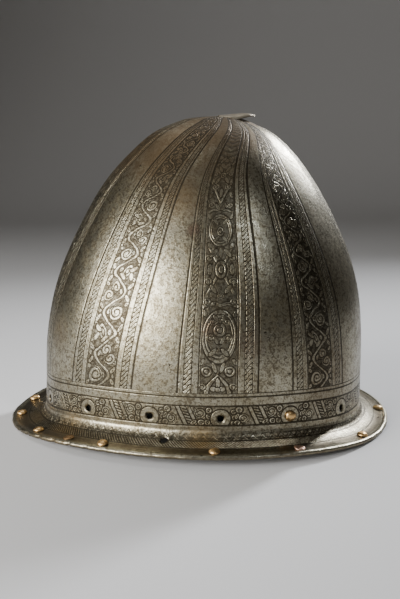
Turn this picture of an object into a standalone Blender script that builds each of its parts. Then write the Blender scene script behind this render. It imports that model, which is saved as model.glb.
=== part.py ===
"""Skull cap helmet: a pear shaped steel skull with a narrow brim and a short stalk.

The skull, brim, turned rim and stalk are one forged plate, so they are one solid.
Fourteen rivets stand round the brim and one rivet is left in the lining holes.
Metres, +Z up. The front of the helmet is -Y and the wearer's left side is +X.
"""
import bpy
import bmesh
import math
import numpy as np
from mathutils import Matrix, Vector

# Skull
SKULL_LENGTH = 0.242        # front to back, outside, where the skull meets the brim
SKULL_WIDTH = 0.198         # side to side at the same height
SKULL_HEIGHT = 0.2285       # table to the crest of the skull
APEX_BEHIND = 0.021         # how far the crest's middle lies behind the skull's middle
SKULL_BEHIND = 0.0026       # how far the skull's foot lies behind the brim's middle
REAR_FULLNESS = 0.10        # the plan is wider behind the middle by this share
PLATE = 0.0014              # thickness of the steel

# Brim and its turned rim
BRIM_WIDTH = 0.0240
BRIM_FALL = 0.0061          # the brim's top falls this much from skull to rim
BRIM_HOLLOW = 2.0           # above one, the fall is steep at the skull and flat at the rim
BRIM_ARCH = 0.0060          # the helmet's edge rises this much near both ears
ARCH_FORWARD = 0.16         # radians by which its highest place lies ahead of the ear
ARCH_START = 0.33           # the edge lies flat where the cosine from there is less
BRIM_FILLET = 0.0034
FILLET_CURVE = 2.5
RIM_WIDTH = 0.0034
RIM_THICKNESS = 0.0028

# Stalk: a short tongue drawn out of the crest and bent back
STALK_OVERHANG = 0.0195     # from the crest's middle to the tip
STALK_ROOT = 0.0100         # from the crest's middle forward, let into the plate
STALK_ROOT_WIDTH = 0.0160
STALK_TIP_WIDTH = 0.0046
STALK_THICKNESS = 0.0016
STALK_SINK = 0.0012

# Holes for the lining, round the foot of the skull
LINING_HOLES = 14
LINING_HOLE_DIAMETER = 0.0046
LINING_HOLE_RISE = 0.0088   # above the skull's foot
LINING_TURN = 0.0036        # share of the girth from the left ear to the first hole
LINING_RIVET_AT = 1         # the hole that still holds its rivet
SPARE_HOLE_TURN = -0.050    # a larger hole in the brim, beside the skull
SPARE_HOLE_DIAMETER = 0.0050
SPARE_HOLE_EDGE = 0.0027    # from the skull's foot to the near edge of that hole

# Rivets
RIVET_HEAD_DIAMETER = 0.0078
RIVET_DOME_HEIGHT = 0.0026
RIVET_EDGE_HEIGHT = 0.0004
RIVET_SHANK_DIAMETER = 0.0030
RIVET_TAIL_DIAMETER = 0.0046
RIVET_TAIL_HEIGHT = 0.0008
RIVET_PLACE = 0.83          # share of the way from the skull's foot to the turned rim
GAP = 0.0003                # clearance between rivet and plate
TINY = 1e-9

# Fineness of the faceted solids
SIDES = 60
STEPS_PER_ROW = 2
HOLE_SIDES = 10
RIVET_SIDES = 10
STALK_STEPS = 8
STALK_SPAN = 8
SPLINE_FINENESS = 24
GIRTH_STEPS = 1440
CUTTER_REACH = 0.006        # how far a hole's cutter stands out on each side
TURN_STEP = 0.01            # steps for measuring how a surface leans
ALONG_STEP = 0.001

# Skull sections. Height is a share of the rise from foot to crest. Front, rear and
# side are how far the section reaches from the skull's middle, as shares of half
# the length and half the width. The last row is replaced by the crest itself.
SKULL_SECTIONS = (
    # height, front, rear, side
    (0.000, 1.000, 1.000, 1.000),
    (0.100, 0.998, 1.002, 1.008),
    (0.250, 0.984, 1.002, 1.004),
    (0.400, 0.930, 0.975, 0.960),
    (0.550, 0.830, 0.895, 0.868),
    (0.700, 0.694, 0.768, 0.728),
    (0.800, 0.574, 0.658, 0.600),
    (0.880, 0.440, 0.546, 0.462),
    (0.940, 0.310, 0.426, 0.318),
    (0.975, 0.172, 0.300, 0.180),
    (0.992, 0.057, 0.218, 0.092),
)

# Stalk sections from root to tip. Width is a share of the way from tip width to root
# width, lift and hang are shares of the root width: how far the middle line stands
# above the crest and how far the edges hang below it. Hug is the share by which the
# section still follows the skull.
STALK_SECTIONS = (
    # along, width, lift, hang, hug
    (0.00, 0.55, 0.00, 0.00, 1.00),
    (0.25, 0.90, 0.05, 0.04, 1.00),
    (0.42, 1.00, 0.08, 0.20, 0.40),
    (0.62, 0.80, 0.09, 0.16, 0.05),
    (0.84, 0.42, 0.07, 0.08, 0.00),
    (1.00, 0.00, -0.01, 0.03, 0.00),
)

# Rings of the brim's top: three across the fillet and four across the flat, as shares
FILLET_RINGS = (0.12, 0.35, 0.70)
FLAT_RINGS = (0.00, 0.30, 0.62, 1.00)

# The turned rim in section, from its inner edge over the top to the underside. Out is
# a share of the rim's width, height a share of its thickness.
RIM_SECTION = (
    # out, height
    (0.20, 1.08),
    (0.70, 1.00),
    (1.00, 0.55),
    (0.85, 0.00),
    (0.10, 0.00),
)

# Brim rivets: share of the girth from the left ear towards the back of the head,
# and height of the dome as a share of a whole one
BRIM_RIVETS = (
    # turn, dome
    (-0.288, 1.00),
    (-0.243, 1.00),
    (-0.180, 1.00),
    (-0.138, 0.35),
    (-0.101, 1.00),
    (-0.002, 1.00),
    (0.073, 0.35),
    (0.151, 1.00),
    (0.236, 1.00),
    (0.320, 1.00),
    (0.400, 1.00),
    (0.480, 1.00),
    (0.560, 1.00),
    (0.640, 1.00),
)

HALF_LENGTH = SKULL_LENGTH / 2
HALF_WIDTH = SKULL_WIDTH / 2
FOOT_HEIGHT = RIM_THICKNESS + BRIM_FALL + BRIM_FILLET
BRIM_FLAT = BRIM_WIDTH - RIM_WIDTH
RIVET_OUT = BRIM_FLAT * RIVET_PLACE
SPARE_HOLE_OUT = SPARE_HOLE_EDGE + SPARE_HOLE_DIAMETER / 2
RISE = SKULL_HEIGHT - FOOT_HEIGHT


def clear_scene():
    for obj in list(bpy.data.objects):
        bpy.data.objects.remove(obj, do_unlink=True)


def make_material(name, colour, roughness, metallic):
    material = bpy.data.materials.new(name)
    material.use_nodes = True
    shader = material.node_tree.nodes["Principled BSDF"]
    shader.inputs["Base Color"].default_value = (*colour, 1.0)
    shader.inputs["Roughness"].default_value = roughness
    shader.inputs["Metallic"].default_value = metallic
    return material


def spline_rows(rows, steps):
    """A Catmull-Rom curve through the rows of a table, with the given steps a row."""
    table = np.array(rows, float)
    ends = np.vstack([2 * table[0] - table[1], table, 2 * table[-1] - table[-2]])
    curve = []
    for i in range(1, len(table)):
        a, b, c, d = ends[i - 1], ends[i], ends[i + 1], ends[i + 2]
        for s in np.arange(steps) / steps:
            bend = (2 * b + (c - a) * s + (2 * a - 5 * b + 4 * c - d) * s ** 2
                    + (3 * b - 3 * c + d - a) * s ** 3)
            curve.append(bend / 2)
    curve.append(table[-1])
    return np.array(curve)


def skull_rows(steps):
    """The skull's sections from foot to crest, the crest being a single point."""
    crest = APEX_BEHIND / HALF_LENGTH
    return spline_rows(SKULL_SECTIONS + ((1.0, -crest, crest, 0.0),), steps)


def arch(turn):
    """Rise of the edge at a turn: none round the front and rear, most near the ears."""
    side = math.atan2(math.sin(turn), abs(math.cos(turn)))
    share = max(0.0, (math.cos(side + ARCH_FORWARD) - ARCH_START) / (1 - ARCH_START))
    return BRIM_ARCH * share * share * (3 - 2 * share)


def plan(turn, half_length, half_width, fullness):
    """A point of an oval that is wider behind its middle."""
    x = half_width * math.cos(turn) * (1 + fullness * math.sin(turn))
    return x, half_length * math.sin(turn)


def skull_point(turn, row):
    height, front, rear, side = row
    half_length = HALF_LENGTH * (front + rear) / 2
    x, y = plan(turn, half_length, HALF_WIDTH * side, REAR_FULLNESS * (1 - height))
    y += SKULL_BEHIND + HALF_LENGTH * (rear - front) / 2
    z = FOOT_HEIGHT + RISE * height + arch(turn) * (1 - height)
    return Vector((x, y, z))


def brim_top(out):
    """Height of the brim's top above the table, a way out from the skull's foot."""
    left = BRIM_FALL * max(0.0, 1 - out / BRIM_FLAT) ** BRIM_HOLLOW
    corner = max(0.0, 1 - out / BRIM_FILLET)
    return RIM_THICKNESS + left + BRIM_FILLET * corner ** FILLET_CURVE


def brim_point(turn, out, height):
    x, y = plan(turn, HALF_LENGTH + out, HALF_WIDTH + out, REAR_FULLNESS)
    y += SKULL_BEHIND * (1 - out / BRIM_WIDTH)
    return Vector((x, y, height + arch(turn)))


def girth_turn(share):
    """The turn at a share of the girth, measured along the skull's foot."""
    turns = np.linspace(0, 2 * math.pi, GIRTH_STEPS + 1)
    points = np.array([plan(t, HALF_LENGTH, HALF_WIDTH, REAR_FULLNESS) for t in turns])
    steps = np.hypot(*np.diff(points, axis=0).T)
    lengths = np.concatenate([[0], np.cumsum(steps)]) / steps.sum()
    return float(np.interp(share % 1.0, lengths, turns))


def wall_row(rise):
    """The skull's section at a rise above its foot."""
    rows = skull_rows(SPLINE_FINENESS)
    return tuple(float(np.interp(rise / RISE, rows[:, 0], rows[:, k])) for k in range(4))


def surface_frame(point_at, turn, along, outward):
    """A point of a surface and a frame there whose Z axis is the outward normal."""
    point = point_at(turn, along)
    around = point_at(turn + TURN_STEP, along) - point_at(turn - TURN_STEP, along)
    across = point_at(turn, along + ALONG_STEP) - point_at(turn, along - ALONG_STEP)
    normal = around.cross(across).normalized()
    if normal.dot(outward) < 0:
        normal.negate()
    around.normalize()
    frame = Matrix((around, normal.cross(around), normal)).transposed().to_4x4()
    return Matrix.Translation(point) @ frame


def wall_frame(turn):
    outward = Vector((math.cos(turn), math.sin(turn), 0))
    return surface_frame(lambda t, rise: skull_point(t, wall_row(rise)), turn,
                         LINING_HOLE_RISE, outward)


def brim_frame(turn, out):
    return surface_frame(lambda t, o: brim_point(t, o, brim_top(o)), turn, out,
                         Vector((0, 0, 1)))


def new_object(name, mesh, collection, material):
    obj = bpy.data.objects.new(name, mesh)
    collection.objects.link(obj)
    if material:
        mesh.materials.append(material)
    return obj


def shade(mesh):
    mesh.shade_smooth()
    mesh.set_sharp_from_angle(angle=math.radians(40))


def ring_normals(rings):
    """Outward normals of a grid of rings that runs from the crest down and out."""
    grid = np.array(rings)
    around = np.roll(grid, -1, axis=1) - np.roll(grid, 1, axis=1)
    down = np.gradient(grid, axis=0)
    normals = np.cross(around, down)
    lengths = np.linalg.norm(normals, axis=2, keepdims=True)
    outward = np.sign(normals[len(grid) // 2, 0, 0])
    return outward * normals / lengths


def bowl_mesh():
    """The plate as one closed loft: outer side, rim, under side and inner side."""
    turns = [2 * math.pi * k / SIDES for k in range(SIDES)]
    outer = [[skull_point(t, row) for t in turns] for row in skull_rows(STEPS_PER_ROW)[-2::-1]]
    fillet = [BRIM_FILLET * share for share in FILLET_RINGS]
    flat = [BRIM_FILLET + (BRIM_FLAT - BRIM_FILLET) * share for share in FLAT_RINGS]
    for out in fillet + flat:
        outer.append([brim_point(t, out, brim_top(out)) for t in turns])
    outer = np.array(outer)
    inner = outer - PLATE * ring_normals(outer)
    edge = []
    for out, height in RIM_SECTION:
        reach = BRIM_FLAT + RIM_WIDTH * out
        edge.append([brim_point(t, reach, RIM_THICKNESS * height) for t in turns])
    rings = list(outer) + [np.array(ring) for ring in edge] + list(inner[::-1])
    crest = Vector((0, SKULL_BEHIND + APEX_BEHIND, SKULL_HEIGHT))
    mesh = bmesh.new()
    grid = [[mesh.verts.new(point) for point in ring] for ring in rings]
    for upper, lower in zip(grid, grid[1:]):
        for k in range(SIDES):
            n = (k + 1) % SIDES
            mesh.faces.new((upper[k], upper[n], lower[n], lower[k]))
    for ring, drop in ((grid[0], 0.0), (grid[-1], PLATE)):
        pole = mesh.verts.new(crest - Vector((0, 0, drop)))
        for k in range(SIDES):
            mesh.faces.new((pole, ring[k], ring[(k + 1) % SIDES]))
    bmesh.ops.recalc_face_normals(mesh, faces=mesh.faces)
    bmesh.ops.triangulate(mesh, faces=mesh.faces)
    data = bpy.data.meshes.new("helmet_bowl")
    mesh.to_mesh(data)
    mesh.free()
    return data


def crest_fall(x, y):
    """Fall of the skull's surface below its crest, beside or behind the crest."""
    rows = skull_rows(SPLINE_FINENESS)[::-1]
    crest = APEX_BEHIND / HALF_LENGTH
    reach = rows[:, 2] - crest if y > 0 else rows[:, 1] + crest
    beside = np.maximum(rows[:, 3] * HALF_WIDTH, TINY)
    along = np.maximum(reach * HALF_LENGTH, TINY)
    size = 1 / np.maximum(np.hypot(x / beside, y / along), TINY)
    return float(np.interp(1.0, size, (1 - rows[:, 0]) * RISE))


def stalk_mesh():
    """The tongue: an arched strip that leaves the crest and overhangs the back."""
    table = np.array(STALK_SECTIONS)
    mesh = bmesh.new()
    grid = []
    for share in np.linspace(0, 1, STALK_STEPS + 1):
        width, lift, hang, hug = (np.interp(share, table[:, 0], table[:, k]) for k in (1, 2, 3, 4))
        half = (STALK_TIP_WIDTH + (STALK_ROOT_WIDTH - STALK_TIP_WIDTH) * width) / 2
        y = (STALK_ROOT + STALK_OVERHANG) * share - STALK_ROOT
        line = []
        for across in np.linspace(-1, 1, STALK_SPAN + 1):
            x = half * across
            sunk = STALK_THICKNESS - STALK_SINK - crest_fall(x, y)
            free = STALK_ROOT_WIDTH * (lift - hang * across ** 2)
            z = sunk * hug + free * (1 - hug)
            line.append(mesh.verts.new((x, SKULL_BEHIND + APEX_BEHIND + y, SKULL_HEIGHT + z)))
        grid.append(line)
    for near, far in zip(grid, grid[1:]):
        for k in range(STALK_SPAN):
            mesh.faces.new((near[k], near[k + 1], far[k + 1], far[k]))
    data = bpy.data.meshes.new("stalk")
    mesh.to_mesh(data)
    mesh.free()
    return data


def add_boolean(obj, tool, operation):
    modifier = obj.modifiers.new(tool.name, "BOOLEAN")
    modifier.operation = operation
    modifier.solver = "EXACT"
    modifier.object = tool
    tool.hide_render = True
    tool.display_type = "WIRE"


def hole_cutter(name, frame, diameter, collection):
    mesh = bmesh.new()
    bmesh.ops.create_cone(mesh, cap_ends=True, segments=HOLE_SIDES, radius1=diameter / 2,
                          radius2=diameter / 2, depth=2 * CUTTER_REACH)
    data = bpy.data.meshes.new(name)
    mesh.to_mesh(data)
    mesh.free()
    obj = new_object(name, data, collection, None)
    obj.matrix_world = frame
    return obj


def brim_seat():
    """How far the hollow brim rises under the edge of a rivet's head."""
    reach = RIVET_HEAD_DIAMETER / 2
    beside = (brim_top(RIVET_OUT - reach) + brim_top(RIVET_OUT + reach)) / 2
    return max(0.0, beside - brim_top(RIVET_OUT))


def rivet_profile(dome, seat):
    """Half section of a rivet, down its outer side, with the plate's top at zero."""
    head = RIVET_HEAD_DIAMETER / 2
    base = GAP + seat + RIVET_EDGE_HEIGHT
    points = [(0.0, base + RIVET_DOME_HEIGHT * dome)]
    for angle in (math.radians(58), math.radians(30), 0.0):
        rise = RIVET_DOME_HEIGHT * dome * math.sin(angle)
        points.append((head * math.cos(angle), base + rise))
    shank = RIVET_SHANK_DIAMETER / 2
    tail = RIVET_TAIL_DIAMETER / 2
    under = -PLATE - GAP
    points += [(head, GAP + seat), (shank, GAP + seat), (shank, under), (tail, under),
               (tail * 0.8, under - RIVET_TAIL_HEIGHT), (0.0, under - RIVET_TAIL_HEIGHT)]
    return points


def add_rivet(name, frame, dome, seat, collection, material):
    points = rivet_profile(dome, seat)
    data = bpy.data.meshes.new(name)
    edges = [(k, k + 1) for k in range(len(points) - 1)]
    data.from_pydata([(x, 0.0, z) for x, z in points], edges, [])
    obj = new_object(name, data, collection, material)
    turned = obj.modifiers.new("turned", "SCREW")
    turned.axis = "Z"
    turned.angle = 2 * math.pi
    turned.steps = RIVET_SIDES
    turned.render_steps = RIVET_SIDES
    turned.use_merge_vertices = True
    turned.merge_threshold = 0.00001
    turned.use_smooth_shade = True
    obj.matrix_world = frame
    return obj


def new_collection(name):
    collection = bpy.data.collections.new(name)
    bpy.context.scene.collection.children.link(collection)
    return collection


def build():
    clear_scene()
    helmet = new_collection("skull_cap_helmet")
    cutters = new_collection("cutters")
    steel = make_material("etched steel", (0.36, 0.34, 0.29), 0.42, 1.0)
    brass = make_material("rivet brass", (0.55, 0.38, 0.17), 0.35, 1.0)

    bowl = new_object("helmet_bowl", bowl_mesh(), helmet, steel)
    stalk = new_object("stalk_tool", stalk_mesh(), cutters, None)
    solid = stalk.modifiers.new("plate", "SOLIDIFY")
    solid.thickness = STALK_THICKNESS
    solid.offset = -1
    add_boolean(bowl, stalk, "UNION")

    for k in range(LINING_HOLES):
        frame = wall_frame(girth_turn(LINING_TURN + k / LINING_HOLES))
        diameter = LINING_HOLE_DIAMETER
        if k == LINING_RIVET_AT:
            diameter = RIVET_SHANK_DIAMETER + 2 * GAP
            add_rivet("lining_rivet", frame, 1.0, 0.0, helmet, brass)
        cutter = hole_cutter(f"lining_hole_{k + 1:02d}", frame, diameter, cutters)
        add_boolean(bowl, cutter, "DIFFERENCE")

    for k, (share, dome) in enumerate(BRIM_RIVETS):
        frame = brim_frame(girth_turn(share), RIVET_OUT)
        add_rivet(f"brim_rivet_{k + 1:02d}", frame, dome, brim_seat(), helmet, brass)
        cutter = hole_cutter(f"brim_hole_{k + 1:02d}", frame,
                             RIVET_SHANK_DIAMETER + 2 * GAP, cutters)
        add_boolean(bowl, cutter, "DIFFERENCE")

    spare = brim_frame(girth_turn(SPARE_HOLE_TURN), SPARE_HOLE_OUT)
    cutter = hole_cutter("spare_hole", spare, SPARE_HOLE_DIAMETER, cutters)
    add_boolean(bowl, cutter, "DIFFERENCE")
    shade(bowl.data)


build()
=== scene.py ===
import bpy
import math
import numpy as np
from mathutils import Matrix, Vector


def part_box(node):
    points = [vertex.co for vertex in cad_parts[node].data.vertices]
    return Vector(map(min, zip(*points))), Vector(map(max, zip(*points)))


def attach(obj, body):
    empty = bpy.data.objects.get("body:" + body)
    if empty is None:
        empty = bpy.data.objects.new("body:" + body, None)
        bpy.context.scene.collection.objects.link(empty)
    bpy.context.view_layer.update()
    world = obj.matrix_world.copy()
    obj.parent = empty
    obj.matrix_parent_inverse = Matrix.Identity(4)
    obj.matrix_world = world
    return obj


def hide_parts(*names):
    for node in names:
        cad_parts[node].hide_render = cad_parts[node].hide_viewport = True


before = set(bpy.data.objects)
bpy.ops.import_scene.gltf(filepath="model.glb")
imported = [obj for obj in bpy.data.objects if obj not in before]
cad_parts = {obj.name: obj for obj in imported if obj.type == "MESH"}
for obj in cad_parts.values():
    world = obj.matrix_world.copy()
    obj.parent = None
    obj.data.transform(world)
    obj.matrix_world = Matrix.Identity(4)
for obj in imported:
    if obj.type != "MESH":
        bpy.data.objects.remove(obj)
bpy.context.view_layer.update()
LOW, HIGH = (np.array(corner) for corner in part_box("helmet_bowl"))

# Sizes in metres. The helmet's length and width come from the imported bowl.
BRIM_WIDTH = 0.0240
BRIM_FALL = 0.0061
BRIM_HOLLOW = 2.0
BRIM_ARCH = 0.0060
ARCH_FORWARD = 0.16
ARCH_START = 0.33
BRIM_FILLET = 0.0034
FILLET_CURVE = 2.5
RIM_WIDTH = 0.0034
RIM_THICKNESS = 0.0028
REAR_FULLNESS = 0.10
PLATE = 0.0014
SKULL_HEIGHT = 0.2285
APEX_BEHIND = 0.021
SKULL_BEHIND = 0.0026
LINING_HOLES = 14
LINING_TURN = 0.0036
LINING_RISE = 0.0088
LINING_RIVET_AT = 1
LINING_HOLE_RADIUS = 0.0023
SPARE_HOLE_TURN = -0.050
SPARE_HOLE_OUT = 0.0052
SPARE_HOLE_RADIUS = 0.0025

TURNS = np.linspace(0, 2 * math.pi, 1441)
WIDEST = (np.cos(TURNS) * (1 + REAR_FULLNESS * np.sin(TURNS))).max()
HALF_LENGTH = (HIGH[1] - LOW[1]) / 2 - BRIM_WIDTH
HALF_WIDTH = HIGH[0] / WIDEST - BRIM_WIDTH
FOOT_HEIGHT = RIM_THICKNESS + BRIM_FALL + BRIM_FILLET
BRIM_FLAT = BRIM_WIDTH - RIM_WIDTH
RISE = SKULL_HEIGHT - FOOT_HEIGHT
CREST = APEX_BEHIND / HALF_LENGTH

# Fineness of the plate's grid
COLUMNS = 400
DOME_STEP = 0.0023
GIRDLE_STEP = 0.0010
HOLE_REACH = 2              # cells from a hole's middle to its edge
HOLE_BLEND = 3              # cells over which the grid bends back to straight
HOLE_RING_STEP = 0.45       # growth from ring to ring of cells, in hole radii
HOLE_WAVES = (0.05, 0.04)   # unevenness in three and in five waves, in hole radii
DOME_RINGS_INSIDE = 4       # every so many rows of the dome are kept on its inner side

# A cell's four corners, anticlockwise seen from outside: columns on and rows down
CORNER_ON = np.array([0, 0, 1, 1])
CORNER_DOWN = np.array([0, 1, 1, 0])

# The etched girdle and bands: heights above the skull's foot
GIRDLE_LOW = 0.0038
GIRDLE_HIGH = 0.0180
BAND_LINE = 0.0245
BAND_FOOT = 0.0274

# Sections of the skull, the same as the solid's
SECTIONS = (
    # height, front, rear, side
    (0.000, 1.000, 1.000, 1.000),
    (0.100, 0.998, 1.002, 1.008),
    (0.250, 0.984, 1.002, 1.004),
    (0.400, 0.930, 0.975, 0.960),
    (0.550, 0.830, 0.895, 0.868),
    (0.700, 0.694, 0.768, 0.728),
    (0.800, 0.574, 0.658, 0.600),
    (0.880, 0.440, 0.546, 0.462),
    (0.940, 0.310, 0.426, 0.318),
    (0.975, 0.172, 0.300, 0.180),
    (0.992, 0.057, 0.218, 0.092),
    (1.000, -CREST, CREST, 0.000),
)

# Etched bands: share of the girth from the left ear, half width as a share, and kind
BANDS = (
    # middle, half width, kind
    (0.0000, 0.0400, "trophy"),
    (0.1125, 0.0350, "foliage"),
    (0.2500, 0.0375, "trophy"),
    (0.3775, 0.0375, "foliage"),
    (0.5000, 0.0400, "trophy"),
    (0.6225, 0.0375, "foliage"),
    (0.7500, 0.0375, "trophy"),
    (0.8750, 0.0375, "foliage"),
)


def smooth(x):
    """Rises from 0 to 1 with level ends: x squared times three less two x."""
    x = np.clip(x, 0, 1)
    return x * x * (3 - 2 * x)


def spline(rows, steps):
    """Catmull-Rom curve through the rows of a table: a cubic between each two rows."""
    table = np.array(rows, float)
    ends = np.vstack([2 * table[0] - table[1], table, 2 * table[-1] - table[-2]])
    s = (np.arange(steps) / steps)[:, None, None]
    a, b, c, d = ends[:-3], ends[1:-2], ends[2:-1], ends[3:]
    bend = 2 * b + (c - a) * s + (2 * a - 5 * b + 4 * c - d) * s ** 2
    bend = (bend + (3 * b - 3 * c + d - a) * s ** 3) / 2
    curve = bend.transpose(1, 0, 2).reshape(-1, table.shape[1])
    return np.vstack([curve, table[-1]])


SECTION_CURVE = spline(SECTIONS, 40)


def plan(turn, half_length, half_width, fullness):
    """An oval, x = half width times cosine, widened behind by the sine of the turn."""
    x = half_width * np.cos(turn) * (1 + fullness * np.sin(turn))
    return x, half_length * np.sin(turn)


FOOT_PLAN = np.hypot(*np.diff(plan(TURNS, HALF_LENGTH, HALF_WIDTH, REAR_FULLNESS)))
GIRTH = FOOT_PLAN.sum()
GIRTH_SHARES = np.concatenate([[0], np.cumsum(FOOT_PLAN)]) / GIRTH


def turn_at(share):
    """The turn at a share of the girth, by arc length along the skull's foot."""
    whole = np.floor(share)
    return np.interp(share - whole, GIRTH_SHARES, TURNS) + 2 * math.pi * whole


def arch(turn):
    """Rise of the edge near the ears, smooth in the cosine of the turn from a place a
    little ahead of them."""
    side = np.arctan2(np.sin(turn), np.abs(np.cos(turn)))
    return BRIM_ARCH * smooth((np.cos(side + ARCH_FORWARD) - ARCH_START) / (1 - ARCH_START))


def skull_point(turn, height):
    """The section at a height share: an oval whose front, rear and side reach come
    from the section curve, lifted above the foot and by what is left of the arch."""
    front, rear, side = (np.interp(height, SECTION_CURVE[:, 0], SECTION_CURVE[:, k])
                         for k in (1, 2, 3))
    x, y = plan(turn, HALF_LENGTH * (front + rear) / 2, HALF_WIDTH * side,
                REAR_FULLNESS * (1 - height))
    y = y + SKULL_BEHIND + HALF_LENGTH * (rear - front) / 2
    z = FOOT_HEIGHT + RISE * height + arch(turn) * (1 - height)
    return np.stack([x, y, z], -1)


def brim_top(out):
    """Height of the brim's top: it falls as a power of what is left of its width, and
    a fillet rises into the skull."""
    left = BRIM_FALL * np.clip(1 - out / BRIM_FLAT, 0, 1) ** BRIM_HOLLOW
    corner = np.clip(1 - out / BRIM_FILLET, 0, 1)
    return RIM_THICKNESS + left + BRIM_FILLET * corner ** FILLET_CURVE


def brim_point(turn, out, height):
    """The foot's oval pushed out all round, at a height above the arched edge."""
    x, y = plan(turn, HALF_LENGTH + out, HALF_WIDTH + out, REAR_FULLNESS)
    y = y + SKULL_BEHIND * (1 - out / BRIM_WIDTH)
    return np.stack([x, y, height + arch(turn)], -1)


# How the bands leave their upright course above their foot, in shares of the girth:
# those at the left front lean back, those at the left rear forward, and all of them
# crowd back at the crest. The table gives a middle share and the most that it leans.
LEANS = (
    # middle, most
    (-0.16, 0.034),
    (0.19, -0.030),
)
LEAN_REACH = 0.15
LEAN_EDGE = 0.08
LEAN_POWER = 1.1
CREST_LEAN = 0.12
CREST_POWER = 11


def lean(share, rise):
    """Lean at a share and rise: near two shares as a power of the rise that is a little
    above one, and at the crest as a high power times the cosine of the turn."""
    height = np.clip((rise - BAND_FOOT) / (RISE - BAND_FOOT), 0, 1)
    total = CREST_LEAN * height ** CREST_POWER * np.cos(2 * math.pi * share)
    for middle, most in LEANS:
        way = share - middle
        near = smooth((LEAN_REACH - np.abs(way - np.round(way))) / LEAN_EDGE)
        total = total + most * height ** LEAN_POWER * near
    return total


def sheet(share, rise):
    """The plate's outer side: rise is metres above the skull's foot, and below zero it
    is minus the way out along the brim."""
    turn = turn_at(share + lean(share, rise))
    out = np.clip(-rise, 0, None)
    skull = skull_point(turn, np.clip(rise, 0, None) / RISE)
    brim = brim_point(turn, out, brim_top(out))
    return np.where((rise > 0)[..., None], skull, brim)


def sheet_normal(share, rise):
    """Cross product of the sheet's two slopes, taken over a short step each way."""
    step = 0.0004
    around = sheet(share + step, rise) - sheet(share - step, rise)
    top = np.clip(rise + step, None, RISE)
    along = sheet(share, top) - sheet(share, rise - step)
    normal = np.cross(around, along)
    return normal / np.linalg.norm(normal, axis=-1, keepdims=True)


# Hollows and swellings of the forged plate: slow waves through space. Each has a height
# in metres, a direction in waves to four metres and a start in radians. They begin a
# little above the foot, and the whole skin lies a little lower to stay in the solid.
SWELL_START = 0.002
SWELL_FADE = 0.02
SWELL_SINK = 0.00025
CREST_SINK = 0.0003
SWELLS = (
    # height, across, along, up, start
    (0.00016, 17.0, 9.0, 14.0, 0.4),
    (0.00013, -12.0, 23.0, 19.0, 2.1),
    (0.00010, 31.0, -17.0, 22.0, 4.0),
    (0.00008, 8.0, 37.0, -33.0, 1.3),
    (0.00005, 52.0, 33.0, 47.0, 5.2),
    (0.00004, -47.0, 58.0, 39.0, 3.3),
)


def swell(point):
    """A sum of sine waves: each is its height times the sine of the way along its
    direction."""
    total = 0
    for height, across, along, up, start in SWELLS:
        place = point @ (2 * math.pi * np.array([across, along, up]) / 4)
        total = total + height * np.sin(place + start)
    return total


# The turned rim in section: out as a share of its width, height of its thickness
RIM_SECTION = (
    # out, height
    (0.00, 1.00),
    (0.22, 1.08),
    (0.70, 1.00),
    (0.97, 0.70),
    (0.98, 0.34),
    (0.85, 0.00),
    (0.30, 0.00),
    (0.08, 0.02),
)
RIM_CURVE = spline(RIM_SECTION, 2)[1:]
RIM_STEPS = np.diff(np.vstack([[0, 1], RIM_CURVE]) * (RIM_WIDTH, RIM_THICKNESS), axis=0)
RIM_WAY = np.cumsum(np.hypot(*RIM_STEPS.T))
RIM_HIGHEST = 1.08
RIM_WORN_FROM = 0.9         # share of the rim's width from which it is worn in full
RIM_ROWS_SEEN = 5           # rows of the rim that have the brim's finish

# Wear of the rim: depths in metres, and the share of the girth where it is worst
WEAR_DEPTH = 0.00016
NICK_DEPTH = 0.0016
NICK_LEAST = 0.18
NICKS_EVERYWHERE = 0.20
NICKS_AT = -0.13
NICKS_REACH = 0.08


def ragged(share):
    """Wear of the rim round the girth: fine waves, with deeper nicks at the left front.
    Each part is a product of sines of the share, and the nicks grow as a bell curve."""
    turn = 2 * math.pi * share
    fine = np.sin(61 * turn) * np.sin(37 * turn + 1.0) + 0.6 * np.sin(143 * turn + 2.0)
    deep = np.sin(29 * turn + 0.7) * np.sin(83 * turn + 0.2)
    deep = np.clip(deep - NICK_LEAST, 0, 1)
    away = share - NICKS_AT
    near = np.exp(-((away - np.round(away)) / NICKS_REACH) ** 2)
    return WEAR_DEPTH * np.abs(fine) + NICK_DEPTH * deep * (NICKS_EVERYWHERE + near)


# Rows of the grid through the fillet and over the flat of the brim
FILLET_ROWS = (0.08, 0.2, 0.35, 0.52, 0.72, 1.0)    # shares of the fillet's width
FLAT_ROWS = 15
MEASURED_SHARE = -0.07      # where the way down the dome is measured
MEASURED_STEPS = 4000


def plate_rows():
    """Rise of each row of the outer side, from under the crest to the turned rim: even
    steps of the way down the skull, then finer steps through girdle and brim."""
    rise = np.linspace(RISE, BAND_FOOT, MEASURED_STEPS)
    side = sheet(np.full(rise.shape, MEASURED_SHARE), rise)
    way = np.concatenate([[0], np.cumsum(np.linalg.norm(np.diff(side, axis=0), axis=1))])
    count = int(way[-1] / DOME_STEP)
    dome = np.interp(np.linspace(0, way[-1], count + 1)[1:-1], way, rise)
    girdle = np.linspace(BAND_FOOT, 0, int(BAND_FOOT / GIRDLE_STEP) + 1)
    fillet = -BRIM_FILLET * np.array(FILLET_ROWS)
    flat = -np.linspace(BRIM_FILLET, BRIM_FLAT, FLAT_ROWS + 1)[1:]
    return np.concatenate([dome, girdle, fillet, flat]), len(dome)


def hole_places():
    """Share, rise and radius of each open hole."""
    places = []
    for k in range(LINING_HOLES):
        if k != LINING_RIVET_AT:
            share = LINING_TURN + k / LINING_HOLES
            places.append((share, LINING_RISE, LINING_HOLE_RADIUS))
    places.append((SPARE_HOLE_TURN, -SPARE_HOLE_OUT, SPARE_HOLE_RADIUS))
    return places


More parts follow.
